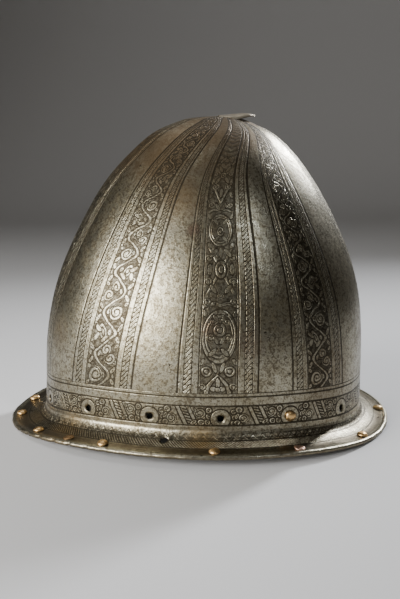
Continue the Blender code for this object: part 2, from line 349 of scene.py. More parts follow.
def bend_round_hole(share, rise, rows, place, k):
    """Moves the grid's parameters so that a square ring of cells becomes the hole's
    circle, a little uneven by two sines of the angle. Rings further out blend back to
    the even grid."""
    middle, height, radius = place
    column = int(round(middle * COLUMNS))
    row = int(np.argmin(np.abs(rows - height)))
    reach = HOLE_REACH + HOLE_BLEND
    steps = np.arange(-reach, reach + 1)
    down, across = np.meshgrid(steps, steps, indexing="ij")
    ring = np.maximum(np.abs(down), np.abs(across))
    angle = np.arctan2(-down, across)
    three, five = HOLE_WAVES
    uneven = 1 + three * np.sin(3 * angle + k) + five * np.sin(5 * angle + 2.3 * k)
    spread = radius * uneven * (1 + HOLE_RING_STEP * (ring - HOLE_REACH))
    blend = smooth((ring - HOLE_REACH) / HOLE_BLEND)
    at = np.ix_(row + steps, (column + steps) % COLUMNS)
    turns = np.round(share[at] - middle)
    share[at] = (share[at] - turns) * blend + turns \
        + (middle + spread * np.cos(angle) / GIRTH) * (1 - blend)
    rise[at] = rise[at] * blend + (height + spread * np.sin(angle)) * (1 - blend)
    return row, column


def ring_offsets():
    """Cells round the edge of a hole, anticlockwise seen from outside."""
    n = HOLE_REACH
    side = range(-n, n)
    return ([(-k, n) for k in side] + [(-n, -k) for k in side]
            + [(k, -n) for k in side] + [(n, k) for k in side])


def closed_loft(rings, first_end, last_end):
    """A closed skin over a grid of rings: a quad for each cell, and a fan of triangles to
    a point at each end. Gives points, quads, fans and each grid point's number."""
    count, ring = rings.shape[:2]
    index = np.arange(count * ring).reshape(count, ring)
    nearer = np.roll(index, -1, axis=1)
    quads = np.stack([index[:-1], index[1:], nearer[1:], nearer[:-1]], -1)
    fans = [(count * ring, a, b) for a, b in zip(index[0], nearer[0])]
    fans += [(count * ring + 1, b, a) for a, b in zip(index[-1], nearer[-1])]
    return np.vstack([rings.reshape(-1, 3), first_end, last_end]), quads, fans, index


def set_attribute(mesh, name, values):
    """One number for each point of a mesh."""
    layer = mesh.attributes.new(name, "FLOAT", "POINT")
    layer.data.foreach_set("value", np.ascontiguousarray(values, np.float32).ravel())


def set_map(mesh, name, corners):
    """A flat map of a mesh: two numbers for each corner of each face."""
    layer = mesh.uv_layers.new(name=name)
    layer.uv.foreach_set("vector", np.ascontiguousarray(corners, np.float32).ravel())


def new_piece(name, points, quads, others, materials, slot, *replaced):
    """A mesh from arrays of points and quads and a list of other faces, which rides on
    the helmet's one body."""
    mesh = bpy.data.meshes.new(name)
    mesh.from_pydata(points.tolist(), [], quads.reshape(-1, 4).tolist() + others)
    mesh.validate()
    mesh.shade_smooth()
    for material in materials:
        mesh.materials.append(material)
    piece = bpy.data.objects.new(name, mesh)
    bpy.context.scene.collection.objects.link(piece)
    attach(piece, "root")
    if replaced:
        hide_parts(*replaced)
    return piece


def band_of_columns():
    """For each column of cells, the band that it lies in, or -1 for a plain panel. A
    band takes one more column on each side, for the outer half of its edge line."""
    middle = (np.arange(COLUMNS) + 0.5) / COLUMNS
    band = np.full(COLUMNS, -1)
    for k, (centre, half, kind) in enumerate(BANDS):
        away = np.abs(middle - centre - np.round(middle - centre))
        band[away < half + 1 / COLUMNS] = k
    return band


def band_ladder(rows, band):
    """Half width of a band at each row, and how far up it a row lies, counted in half
    widths: the sum of steps along the middle, each over the half width there."""
    centre, half, kind = BANDS[band]
    rise = np.minimum(rows, RISE)
    left, middle, right = (sheet(np.full(rows.shape, s), rise)
                           for s in (centre - half, centre, centre + half))
    span = np.linalg.norm(left - right, axis=1) / 2
    steps = np.linalg.norm(np.diff(middle, axis=0), axis=1)
    climb = np.cumsum((steps / ((span[1:] + span[:-1]) / 2))[::-1])[::-1]
    climb = np.append(climb, 0.0)
    foot = int(np.argmin(np.abs(rows - BAND_FOOT)))
    return span, climb - climb[foot]


def bent_grid(rows):
    """Share and rise of each point of the outer side, bent round the holes, and the row
    and column of each hole's middle."""
    share = np.tile(np.arange(COLUMNS) / COLUMNS, (len(rows), 1))
    rise = np.repeat(rows[:, None], COLUMNS, axis=1)
    cuts = [bend_round_hole(share, rise, rows, place, k)
            for k, place in enumerate(hole_places())]
    return share, rise, cuts


def plate_sides(share, rise):
    """The plate's two skins: the outer one moved along its normal by the swells, and the
    inner one a plate's thickness further in."""
    normal = sheet_normal(share, rise)
    outer = sheet(share, rise)
    level = smooth((rise - SWELL_START) / SWELL_FADE)[..., None]
    outer = outer + normal * (swell(outer) - SWELL_SINK)[..., None] * level
    return outer, outer - PLATE * normal


def turned_rim(share):
    """Rows of points round the brim's edge: the rim's section carried round the girth,
    less the wear, which grows over the section's width."""
    turn = turn_at(share)
    rows = []
    for out, height in RIM_CURVE:
        wear = ragged(share) * smooth(out / RIM_WORN_FROM)
        z = RIM_THICKNESS * np.clip(height, 0, RIM_HIGHEST) + 0 * turn
        rows.append(brim_point(turn, BRIM_FLAT + RIM_WIDTH * min(out, 1.0) - wear, z))
    return np.array(rows)


def cut_holes(index, cuts, outer_count):
    """Which cells stay when the holes are cut through both skins, and the quads of the
    holes' walls, from the outer ring of points to the inner one."""
    keep = np.ones((len(index) - 1, COLUMNS), bool)
    span = np.arange(-HOLE_REACH, HOLE_REACH)
    ring = ring_offsets()
    walls = []
    for row, column in cuts:
        under = outer_count + len(RIM_CURVE) + (outer_count - 1 - row)
        cells = (column + span) % COLUMNS
        keep[np.ix_(row + span, cells)] = False
        keep[np.ix_(under + span, cells)] = False
        near = np.array([index[row + d, (column + a) % COLUMNS] for d, a in ring])
        far = np.array([index[under - d, (column + a) % COLUMNS] for d, a in ring])
        walls.append(np.stack([near, np.roll(near, -1), np.roll(far, -1), far], -1))
    return keep, np.concatenate(walls)


def plate_map(share, rise, inner_rows):
    """Share and rise at the corners of each cell of the whole plate. Round the rim the
    rise goes on as minus the way along the rim's section."""
    beyond = np.concatenate([-BRIM_FLAT - RIM_WAY, inner_rows])
    rises = np.vstack([rise, np.repeat(beyond[:, None], COLUMNS, axis=1)])
    bent = np.vstack([share - np.arange(COLUMNS) / COLUMNS, np.zeros((len(beyond), COLUMNS))])
    down = np.arange(len(rises) - 1)[:, None, None] + CORNER_DOWN
    on = np.arange(COLUMNS)[:, None] + CORNER_ON
    at = (down, on % COLUMNS)
    return np.stack([on / COLUMNS + bent[at], rises[at]], -1)


def lay_bands(pattern, kind, span, rows, dome_count):
    """Gives the dome's cells under each band their own coordinates, across and up in half
    widths from the band's middle and foot, and the band's material and half width."""
    band = band_of_columns()
    down = np.arange(dome_count)[:, None, None] + CORNER_DOWN
    for k, (centre, half, name) in enumerate(BANDS):
        half_span, climb = band_ladder(rows, k)
        covered = np.where(band == k)[0]
        around = pattern[..., 0][:dome_count, covered] - centre
        around = (around - np.round(around[:, :, :1])) / half
        pattern[:dome_count, covered] = np.stack([around, climb[down] + 0 * around], -1)
        if name == "foliage":
            kind[:dome_count, covered] = slot_number(name)
        else:
            for part, (low, high) in TROPHY_PARTS.items():
                reached = (climb[:dome_count] >= low) & (climb[:dome_count] < high)
                kind[np.ix_(np.where(reached)[0], covered)] = slot_number(part)
        touched = np.unique(np.concatenate([covered, covered + 1]) % COLUMNS)
        span[:dome_count + 1, touched] = half_span[:dome_count + 1, None]


def build_plate(materials):
    """The whole plate as one closed loft of rows: down the outer side, round the rim,
    in along the underside and up the inner side. Holes are cut through both sides."""
    rows, dome_count = plate_rows()
    outer_count = len(rows)
    share, rise, cuts = bent_grid(rows)
    outer, inner = plate_sides(share, rise)
    sparse = np.arange(DOME_RINGS_INSIDE // 2, dome_count, DOME_RINGS_INSIDE)
    kept = np.concatenate([sparse, np.arange(dome_count, outer_count)])[::-1]
    rings = np.concatenate([outer, turned_rim(share[0]), inner[kept]])
    crest = np.array([0, SKULL_BEHIND + APEX_BEHIND, SKULL_HEIGHT - CREST_SINK])
    points, quads, fans, index = closed_loft(rings, crest, crest - (0, 0, PLATE))
    keep, walls = cut_holes(index, cuts, outer_count)
    pattern = plate_map(share, rise, rows[kept])

    foot_row = int(np.argmin(np.abs(rows)))
    kind = np.full(keep.shape, slot_number("inside"))
    kind[:dome_count] = slot_number("panel")
    kind[dome_count:foot_row] = slot_number("girdle")
    kind[foot_row:outer_count + RIM_ROWS_SEEN] = slot_number("brim")
    span = np.zeros(len(points))
    lay_bands(pattern, kind, span[:-2].reshape(index.shape), rows, dome_count)

    piece = new_piece("steel_plate", points, np.concatenate([quads[keep], walls]), fans,
                      materials, "steel", "helmet_bowl")
    mesh = piece.data
    bake = bake_layout(len(rings), outer_count + len(RIM_CURVE))
    spare = (walls.size + 3 * len(fans), 2)
    set_map(mesh, "OFBake", np.concatenate([bake[keep].reshape(-1, 2),
                                            np.full(spare, SPARE_CORNER)]))
    set_map(mesh, "Pattern", np.concatenate([pattern[keep].reshape(-1, 2), np.zeros(spare)]))
    set_attribute(mesh, "span", span)
    slots = np.concatenate([kind[keep], np.full(len(walls), slot_number("inside")),
                            np.full(COLUMNS, slot_number("panel")),
                            np.full(COLUMNS, slot_number("inside"))])
    mesh.polygons.foreach_set("material_index", slots.astype(np.int32))
    mesh.update()


# Where the plate's sides lie on its one square map: left half and right half of the
# outside as two strips, and the inside as a third. What has no place of its own there,
# such as the holes' walls, shares one corner.
STRIPS = (
    # bottom, top
    (0.005, 0.430),
    (0.440, 0.865),
    (0.875, 0.990),
)
MAP_MARGIN = 0.004
SPARE_CORNER = 0.999


def bake_layout(total, outside):
    """The square map: across it goes a share of the girth, and up it the rows, so the
    finer rows of girdle and brim get more room than the dome's."""
    columns = np.arange(COLUMNS)
    half = COLUMNS // 2
    strip = ((columns + half // 2) // half) % 2
    room = 1 - 2 * MAP_MARGIN
    bottom, top = (np.array([row[k] for row in STRIPS]) for k in (0, 1))
    height = top - bottom
    down = np.arange(total - 1)[:, None, None] + CORNER_DOWN
    across = ((columns + half // 2) % half)[:, None] + CORNER_ON
    up = bottom[strip][:, None] + height[strip][:, None] * (1 - down[:outside] / outside)
    outer = np.stack(np.broadcast_arrays(MAP_MARGIN + room * across / half, up), -1)
    across = columns[:, None] + CORNER_ON
    up = bottom[2] + height[2] * ((down[outside:] - outside) / (total - 1 - outside))
    inner = np.stack(np.broadcast_arrays(MAP_MARGIN + room * across / COLUMNS, up), -1)
    return np.concatenate([outer, inner])


# The plate's materials, in the order in which build_plate gets them
SLOTS = ("panel", "foliage", "trophy_low", "trophy_middle", "trophy_high", "girdle", "brim",
         "inside")


def slot_number(name):
    """The place of a material in the plate's list."""
    return SLOTS.index(name)


class Field:
    """A number that varies over a surface. Arithmetic on fields adds Math nodes."""

    def __init__(self, tree, socket):
        self.tree = tree
        self.socket = socket

    def math(self, operation, *others):
        """A Math node on this field and other fields or plain numbers."""
        node = self.tree.nodes.new("ShaderNodeMath")
        node.operation = operation
        for k, value in enumerate((self,) + others):
            if isinstance(value, Field):
                self.tree.links.new(value.socket, node.inputs[k])
            else:
                node.inputs[k].default_value = value
        return Field(self.tree, node.outputs[0])

    def __add__(self, other):
        return self.math("ADD", other)

    __radd__ = __add__

    def __sub__(self, other):
        return self.math("SUBTRACT", other)

    def __rsub__(self, other):
        return self.math("MULTIPLY_ADD", -1.0, other)

    def __mul__(self, other):
        return self.math("MULTIPLY", other)

    __rmul__ = __mul__

    def __truediv__(self, other):
        return self.math("DIVIDE", other)

    def size(self):
        return self.math("ABSOLUTE")

    def least(self, other):
        return self.math("MINIMUM", other)

    def most(self, other):
        return self.math("MAXIMUM", other)

    def over(self, limit):
        return self.math("GREATER_THAN", limit)

    def sine(self):
        return self.math("SINE")

    def part(self):
        """What is left of the number above the whole number below it."""
        return self.math("FRACT")

    def zigzag(self):
        """1 at each whole number and 0 half way between two of them."""
        return (self.part() - 0.5).size() * 2.0

    def step(self, start, end):
        """Goes smoothly from 0 at start to 1 at end, which may be the lower one."""
        node = self.tree.nodes.new("ShaderNodeMapRange")
        node.interpolation_type = "SMOOTHSTEP"
        self.tree.links.new(self.socket, node.inputs["Value"])
        node.inputs["From Min"].default_value = start
        node.inputs["From Max"].default_value = end
        return Field(self.tree, node.outputs["Result"])

    def inside(self, edge, soft):
        """1 where the field is below an edge, 0 above it, with a soft border."""
        return self.step(edge + soft, edge - soft)

    def paint(self, cover, tone):
        """A painter's layer: this field where cover is 0 and the tone where it is 1."""
        return cover.math("MULTIPLY_ADD", tone - self, self)


def far(x, y):
    """Length of the way to a point from its two parts."""
    return (x * x + y * y).math("SQRT")


def stroke(way, width):
    """An etched line: 1 where a way is nought, 0 past half the width."""
    return (way.size() / (width / 2)).step(*LINE_EDGE)


def new_material(name):
    """An empty material: its tree, and the finish shader already on the output."""
    material = bpy.data.materials.new(name)
    material.use_nodes = True
    tree = material.node_tree
    return material, tree, tree.nodes["Principled BSDF"]


def own_place(tree):
    """The place on the helmet, in metres."""
    node = tree.nodes.new("ShaderNodeTexCoord")
    return node.outputs["Object"]


def parts_of(tree, vector):
    """A vector's three parts, as fields."""
    node = tree.nodes.new("ShaderNodeSeparateXYZ")
    tree.links.new(vector, node.inputs[0])
    return [Field(tree, output) for output in node.outputs]


def vector_of(tree, x, y):
    """A vector of two fields, with nought as its third part."""
    node = tree.nodes.new("ShaderNodeCombineXYZ")
    for value, socket in ((x, node.inputs[0]), (y, node.inputs[1])):
        tree.links.new(value.socket, socket)
    return node.outputs[0]


def pattern_place(tree):
    """The place on the plate's ornament map: across and up on the bands, the share of the
    girth and the rise elsewhere."""
    node = tree.nodes.new("ShaderNodeUVMap")
    node.uv_map = "Pattern"
    return parts_of(tree, node.outputs["UV"])[:2]


def length_of(tree, vector):
    """How long a vector is."""
    node = tree.nodes.new("ShaderNodeVectorMath")
    node.operation = "LENGTH"
    tree.links.new(vector, node.inputs[0])
    return Field(tree, node.outputs["Value"])


def seen_from(tree, place, x, y, wide, tall, lean=0.0):
    """The place as an oval sees it: moved to the oval's middle, turned upright and
    divided by the oval's half sizes, so that its edge lies 1 away."""
    node = tree.nodes.new("ShaderNodeMapping")
    node.vector_type = "TEXTURE"
    tree.links.new(place, node.inputs["Vector"])
    node.inputs["Location"].default_value = (x, y, 0)
    node.inputs["Rotation"].default_value = (0, 0, lean)
    node.inputs["Scale"].default_value = (wide, tall, 1)
    return node.outputs["Vector"]


def noise(tree, vector, scale, detail=2.0, rough=0.5, warp=0.0):
    """Cloudy noise from 0 to 1, with scale in features a metre."""
    node = tree.nodes.new("ShaderNodeTexNoise")
    tree.links.new(vector, node.inputs["Vector"])
    node.inputs["Scale"].default_value = scale
    node.inputs["Detail"].default_value = detail
    node.inputs["Roughness"].default_value = rough
    node.inputs["Distortion"].default_value = warp
    return Field(tree, node.outputs["Fac"])


def cells(tree, vector, scale):
    """Scattered cells: way to the nearest middle, and a random number for each cell."""
    node = tree.nodes.new("ShaderNodeTexVoronoi")
    tree.links.new(vector, node.inputs["Vector"])
    node.inputs["Scale"].default_value = scale
    return Field(tree, node.outputs["Distance"]), parts_of(tree, node.outputs["Color"])[0]


def blend(tree, share, first, second):
    """Mixes two colours by a field. A colour is three numbers or a socket."""
    node = tree.nodes.new("ShaderNodeMix")
    node.data_type = "RGBA"
    node.clamp_factor = True
    tree.links.new(share.socket, node.inputs[0])
    for value, socket in ((first, node.inputs[6]), (second, node.inputs[7])):
        if isinstance(value, tuple):
            socket.default_value = (*value, 1.0)
        else:
            tree.links.new(value, socket)
    return node.outputs[2]


def set_finish(tree, shader, colour, rough, relief):
    """Gives a metal's shader its colour, roughness and relief in metres."""
    bump = tree.nodes.new("ShaderNodeBump")
    bump.inputs["Distance"].default_value = 1.0
    bump.inputs["Strength"].default_value = 1.0
    tree.links.new(relief.socket, bump.inputs["Height"])
    tree.links.new(colour, shader.inputs["Base Color"])
    tree.links.new(rough.socket, shader.inputs["Roughness"])
    tree.links.new(bump.outputs["Normal"], shader.inputs["Normal"])
    shader.inputs["Metallic"].default_value = 1.0


# Colours of the steel, its etched lines and its stains; the rust brown also paints the shade
# under the stalk
STEEL_BRIGHT = (0.42, 0.396, 0.308)
STEEL_WARM = (0.262, 0.228, 0.145)
STEEL_DULL = (0.12, 0.098, 0.065)
STEEL_INK = (0.036, 0.029, 0.019)
RUST_AND_SHADE_BROWN = (0.108, 0.073, 0.038)
RUST_RED = (0.150, 0.068, 0.042)
OCHRE = (0.26, 0.165, 0.055)

# Cloudy patterns in the steel: features a metre, detail and roughness
BROAD = (20.0, 3.0, 0.55)
MOTTLE = (150.0, 5.0, 0.66)
GRAIN = (900.0, 3.0, 0.65)
FRECKLE = (430.0, 2.0, 0.60)
PIT_CELLS = 115.0           # places for a pit, a metre
PIT_EDGE = (0.15, 0.06)     # from outside a pit to inside, in such places
NO_PIT = 0.70               # share of the places that have none
PATINA_EDGE = (0.98, 1.56)
SPECK_EDGE = (0.80, 0.98)
STAIN_EDGE = (1.15, 0.25)

# How much of the steel's colour each thing covers
SPECK_COVER = 0.85
BROWN_COVER = 0.90
OCHRE_COVER = 0.80
PIT_COVER = 0.85
INK_COVER = 0.96

# Relief in metres
MOTTLE_RELIEF = 0.00011
FRECKLE_RELIEF = 0.00011
GRAIN_RELIEF = 0.00008
PIT_DEPTH = 0.00012

# Roughness of the steel, and what is added to it
STEEL_ROUGH = 0.29
PATINA_ROUGH = 0.09
MOTTLE_ROUGH = 0.16
STAIN_ROUGH = 0.20
INK_ROUGH = 0.12

# Stains on the plate, and one patch of painted shade under the stalk, in metres
BROWN_STAINS_AND_STALK_SHADE = (
    # across, along, up, radius, strength
    (0.034, -0.030, 0.203, 0.042, 1.00),
    (0.006, -0.050, 0.205, 0.040, 1.00),
    (0.064, -0.018, 0.178, 0.026, 0.85),
    (0.020, 0.006, 0.218, 0.042, 1.00),
    (0.030, 0.030, 0.214, 0.026, 0.90),
    # painted shade: a dark patch on the crest in the hollow under the stalk's overhang
    (0.006, 0.038, 0.2230, 0.013, 1.00),
    (0.050, 0.006, 0.193, 0.028, 0.80),
    (0.035, -0.106, 0.076, 0.016, 0.50),
    (-0.050, -0.080, 0.120, 0.045, 0.50),
    (-0.060, 0.060, 0.150, 0.040, 0.60),
    (0.080, 0.085, 0.050, 0.030, 0.55),
    (-0.090, 0.010, 0.060, 0.035, 0.45),
)
RED_STAINS = (
    # across, along, up, radius, strength
    (0.076, -0.011, 0.153, 0.0060, 0.50),
    (0.097, -0.003, 0.090, 0.0080, 0.40),
    (0.098, 0.025, 0.078, 0.0120, 0.25),
    (-0.080, 0.040, 0.110, 0.0080, 0.80),
    (0.030, 0.115, 0.070, 0.0090, 0.60),
)
OCHRE_STAINS = (
    # across, along, up, radius, strength
    (0.103, -0.008, 0.012, 0.015, 0.80),
    (0.061, -0.106, 0.008, 0.024, 0.75),
    (0.020, -0.128, 0.006, 0.022, 0.60),
    (-0.070, 0.105, 0.008, 0.030, 0.70),
    (-0.095, -0.050, 0.010, 0.026, 0.60),
)


def stains(tree, place, cloud, rows):
    """Soft round patches with a cloudy edge, each fading with the way from its middle."""
    total = None
    for across, along, up, radius, strength in rows:
        node = tree.nodes.new("ShaderNodeVectorMath")
        node.operation = "DISTANCE"
        tree.links.new(place, node.inputs[0])
        node.inputs[1].default_value = (across, along, up)
        way = Field(tree, node.outputs["Value"]) / radius + cloud
        patch = way.step(*STAIN_EDGE) * strength
        total = patch if total is None else total.most(patch)
    return total


def finish_steel(material, tree, shader, ink=None, depth=None, dark=None, bright=None):
    """Old steel: warm grey with brown patina, pits and rust, and a patch of painted shade
    on the crest under the stalk. Ink is how dark the etching is, depth its relief in
    metres, dark a darkening towards dull steel and bright a brightening of rubbed ones."""
    place = own_place(tree)
    broad, mottle, grain, freckle = (
        noise(tree, place, *kind) for kind in (BROAD, MOTTLE, GRAIN, FRECKLE))
    patina = (broad * 0.7 + mottle + grain * 0.8).step(*PATINA_EDGE)
    colour = blend(tree, patina, STEEL_BRIGHT, STEEL_WARM)
    speck = (grain * 0.7 + freckle * 0.7 + mottle * 0.3).step(*SPECK_EDGE)
    colour = blend(tree, speck * SPECK_COVER, colour, STEEL_DULL)
    cloud = (mottle - 0.5) * 1.6 + (broad - 0.5) * 1.2
    # brown stains, and among them a patch of painted shade under the stalk
    brown = stains(tree, place, cloud, BROWN_STAINS_AND_STALK_SHADE)
    colour = blend(tree, brown * BROWN_COVER, colour, RUST_AND_SHADE_BROWN)
    red = stains(tree, place, cloud, RED_STAINS)
    colour = blend(tree, red, colour, RUST_RED)
    ochre = stains(tree, place, cloud, OCHRE_STAINS)
    colour = blend(tree, ochre * OCHRE_COVER, colour, OCHRE)
    if dark is not None:
        colour = blend(tree, dark, colour, STEEL_DULL)
    if bright is not None:
        colour = blend(tree, bright, colour, STEEL_BRIGHT)
    pit_way, pit_chance = cells(tree, place, PIT_CELLS)
    pit = pit_way.step(*PIT_EDGE) * pit_chance.over(NO_PIT)
    colour = blend(tree, pit * PIT_COVER, colour, STEEL_INK)
    relief = (mottle - 0.5) * MOTTLE_RELIEF + (freckle - 0.5) * FRECKLE_RELIEF
    relief = relief + (grain - 0.5) * GRAIN_RELIEF - pit * PIT_DEPTH
    rough = STEEL_ROUGH + patina * PATINA_ROUGH + (mottle - 0.5) * MOTTLE_ROUGH
    rough = rough + brown.most(ochre) * STAIN_ROUGH
    if ink is not None:
        colour = blend(tree, ink * INK_COVER, colour, STEEL_INK)
        rough = rough + ink * INK_ROUGH
    if depth is not None:
        relief = relief + depth
    set_finish(tree, shader, colour, rough, relief)
    return material


# Lines of a band, as shares of its half width, and widths of lines in metres
BAND_EDGE = 1.0
ROPE_OUTER = 0.86
ROPE_INNER = 0.655
FIELD_EDGE = 0.48
FIELD_SOFT = 0.02
FRAME_LINE = 0.43
ROPE_STRAND = 0.138         # length of a strand along the rope
ROPE_SLANT = 0.66           # strands that a stroke crosses over half the rope's width
ROPE_BEND = 0.13            # how far its S bends off that, in strands
LINE = 0.00110
THIN_LINE = 0.0006
EDGE_LINE = LINE * 1.35
GIRDLE_LINE = LINE * 1.2
ETCH = 0.00018
GROUND = 0.64               # how dark the etched ground is, between 0 and the lines' 1
SCROLL_GROUND = 0.90        # the same in the scroll bands

SHARP = 0.015               # soft border of straps and staffs, in half widths
SOFT = 0.05                 # the same of ovals and curls, as a share of their size

LINE_EDGE = (1.35, 0.45)    # from outside a line to inside, in halves of its width

# A curl: its dark rim, bright edge and bright eye as shares of its radius, and where a
# groove gives way to an arm
CURL_RIM = 1.06
CURL_EDGE = 0.96
CURL_EYE = 0.20
CURL_GROOVE = (0.74, 0.46)

# An etched shape's layers: each is an edge, as a share of its size, and a tone
OUTLINED = ((1.42, 1.0), (1.02, 0.0))
HOLLOW = ((1.26, 1.0), (1.0, 0.0), (0.66, 1.0), (0.40, 0.1))
FRAMED = ((1.08, 1.0), (1.0, 0.0), (0.88, 1.0), (0.82, 0.0), (0.74, 1.0), (0.67, GROUND))
RINGED = ((1.50, 1.0), (1.0, 0.0), (0.52, 1.0), (0.22, 0.3))
VEINED = ((1.45, 1.0), (1.0, 0.0), (0.26, 1.0))


def paint_ovals(ink, tree, place, rows, layers, soft=SOFT):
    """Ovals painted over the ink. A row gives middle, half sizes and lean in radians."""
    for x, y, wide, tall, lean in rows:
        way = length_of(tree, seen_from(tree, place, x, y, wide, tall, lean))
        for edge, tone in layers:
            ink = ink.paint(way.inside(edge, soft), tone)
    return ink


def paint_spirals(ink, across, up, rows, soft=SOFT):
    """Curls: bright arms between dark grooves. The groove lies where the way from the
    middle, counted in windings, plus the angle, counted in turns, is a whole number."""
    for x, y, radius, windings, start in rows:
        u, v = across - x, up - y
        way = far(u, v) / radius
        wind = way * windings + v.math("ARCTAN2", u) / (2 * math.pi) + start
        arm = wind.zigzag().step(*CURL_GROOVE)
        ink = ink.paint(way.inside(CURL_RIM, soft), 1.0)
        ink = ink.paint(way.inside(CURL_EDGE, soft) * arm, 0.0)
        ink = ink.paint(way.inside(CURL_EYE, soft), 0.0)
    return ink


def paint_strap(ink, way, half, rim, soft, reach=None):
    """A bright strap along a line, dark along both its edges. A reach cuts it short."""
    for edge, tone in ((half + rim, 1.0), (half, 0.0)):
        cover = way.inside(edge, soft)
        ink = ink.paint(cover if reach is None else cover * reach, tone)
    return ink


def rope(across, up):
    """Twisted cord between two lines, with one strand to each step up the band: dark gaps
    that slant and bend to an S, dark corners where a strand ends and a fine vein."""
    middle = (ROPE_OUTER + ROPE_INNER) / 2
    half = (ROPE_OUTER - ROPE_INNER) / 2
    side = across.over(0.0) * 2.0 - 1.0
    x = (across.size() - middle) / half * side
    edge = (up / ROPE_STRAND - x * ROPE_SLANT - (x * math.pi).sine() * ROPE_BEND).zigzag()
    within = x.size().step(1.04, 0.92)
    gap = edge.step(0.60, 0.86)
    corner = (edge * 0.62 + x.size() * 0.66).step(0.86, 1.12)
    vein = edge.step(0.16, 0.02) * x.size().step(0.75, 0.45) * 0.45
    return gap.most(corner).most(vein) * within


def band_lines(across, span, extra=None):
    """Lines that follow a band at fixed shares of its half width."""
    way = across.size()
    total = None
    rows = [(BAND_EDGE, EDGE_LINE), (ROPE_OUTER, THIN_LINE), (ROPE_INNER, THIN_LINE),
            (FIELD_EDGE, LINE)]
    if extra is not None:
        rows.append((extra, THIN_LINE))
    for at, width in rows:
        line = stroke((way - at) * span, width)
        total = line if total is None else total.most(line)
    return total


# Leafy scroll: one cell's curls and leaves, in half widths from the cell's middle
SCROLL_CELL = 0.60
SCROLL_SWING = 0.27
SCROLL_WANDER = (0.16, 0.22)    # how far the drawing strays across and up
STEM_HALF = 0.042
STEM_RIM = 0.050
SCROLL_LEAVES = (
    # across, up, half width, half height, lean
    (-0.39, 0.17, 0.050, 0.110, 0.50),
    (-0.38, -0.19, 0.048, 0.100, -0.55),
    (0.40, 0.235, 0.045, 0.085, -0.75),
    (0.40, -0.215, 0.045, 0.090, 0.70),
    (-0.10, 0.02, 0.040, 0.085, -0.25),
    (-0.41, -0.01, 0.028, 0.060, 0.0),
)
CURL_ONE = ((0.145, 0.0, 0.225, 2.2, 0.9),)
CURLS_TWO = ((0.09, 0.125, 0.150, 1.7, 2.0), (0.245, -0.115, 0.155, 1.7, -0.8))
BUD = ((0.13, 0.01, 0.115, 0.235, -0.42),)
BUD_LEAVES = ((0.30, 0.12, 0.055, 0.13, -0.8), (0.02, -0.17, 0.050, 0.12, 0.9),
              (0.30, -0.13, 0.060, 0.11, 0.25))


# Clouds in the etched ground, in features to a half width, detail and roughness, and how
# far its tone varies
GROUND_FLECKS = (11.0, 2.0, 0.7)
GROUND_CONTRAST = 1.3

# Clouds of wear on the etching: features a metre, and the edge from rubbed to whole
BAND_WEAR = (70.0, 0.22, 0.55)
GIRDLE_WEAR = (90.0, 0.25, 0.50)
BRIM_WEAR = (60.0, 0.28, 0.52)


def ground_tone(tree, plain, tone):
    """The etched ground: dark, with cloudy lighter flecks where it is worn."""
    return (noise(tree, plain, *GROUND_FLECKS) - 0.5) * GROUND_CONTRAST + tone


def wear_cloud(tree, scale, rubbed, whole):
    """Clouds of wear on the etching: 0 where it is rubbed and 1 where it is whole."""
    return noise(tree, own_place(tree), scale, 3.0, 0.6).step(rubbed, whole)


def worn(ink, wear, least):
    """Ink that is less where it is rubbed, but never under a least share of itself."""
    return ink * (wear * (1 - least) + least)


def scroll(tree, across, up):
    """Leafy scroll: cells of one curl, pair or bud each, every second one mirrored. The
    stem swings from side to side as a cosine of the way up."""
    plain = vector_of(tree, across, up)
    aside, along = SCROLL_WANDER
    across = across + (noise(tree, plain, 2.1, 1.0) - 0.5) * aside
    up = up + (noise(tree, plain, 1.7, 1.0, warp=0.3) - 0.5) * along
    cell = (up / SCROLL_CELL).math("FLOOR")
    height = up - (cell + 0.5) * SCROLL_CELL
    hand = (cell * 0.5).part() * 4.0 - 1.0
    x = across * hand
    place = vector_of(tree, x, height)
    stem = (x + (height * (math.pi / SCROLL_CELL)).math("COSINE") * SCROLL_SWING).size()
    ink = ground_tone(tree, plain, SCROLL_GROUND)
    ink = paint_strap(ink, stem, STEM_HALF, STEM_RIM, SHARP)
    ink = paint_ovals(ink, tree, place, SCROLL_LEAVES, VEINED)
    third = (cell / 3.0 + 0.01).part()
    curl = paint_spirals(ink, x, height, CURL_ONE)
    pair = paint_spirals(ink, x, height, CURLS_TWO)
    bud = paint_ovals(ink, tree, place, BUD, HOLLOW)
    bud = paint_ovals(bud, tree, place, BUD_LEAVES, OUTLINED)
    return curl.paint(third.over(0.2), pair).paint(third.over(0.5), bud)


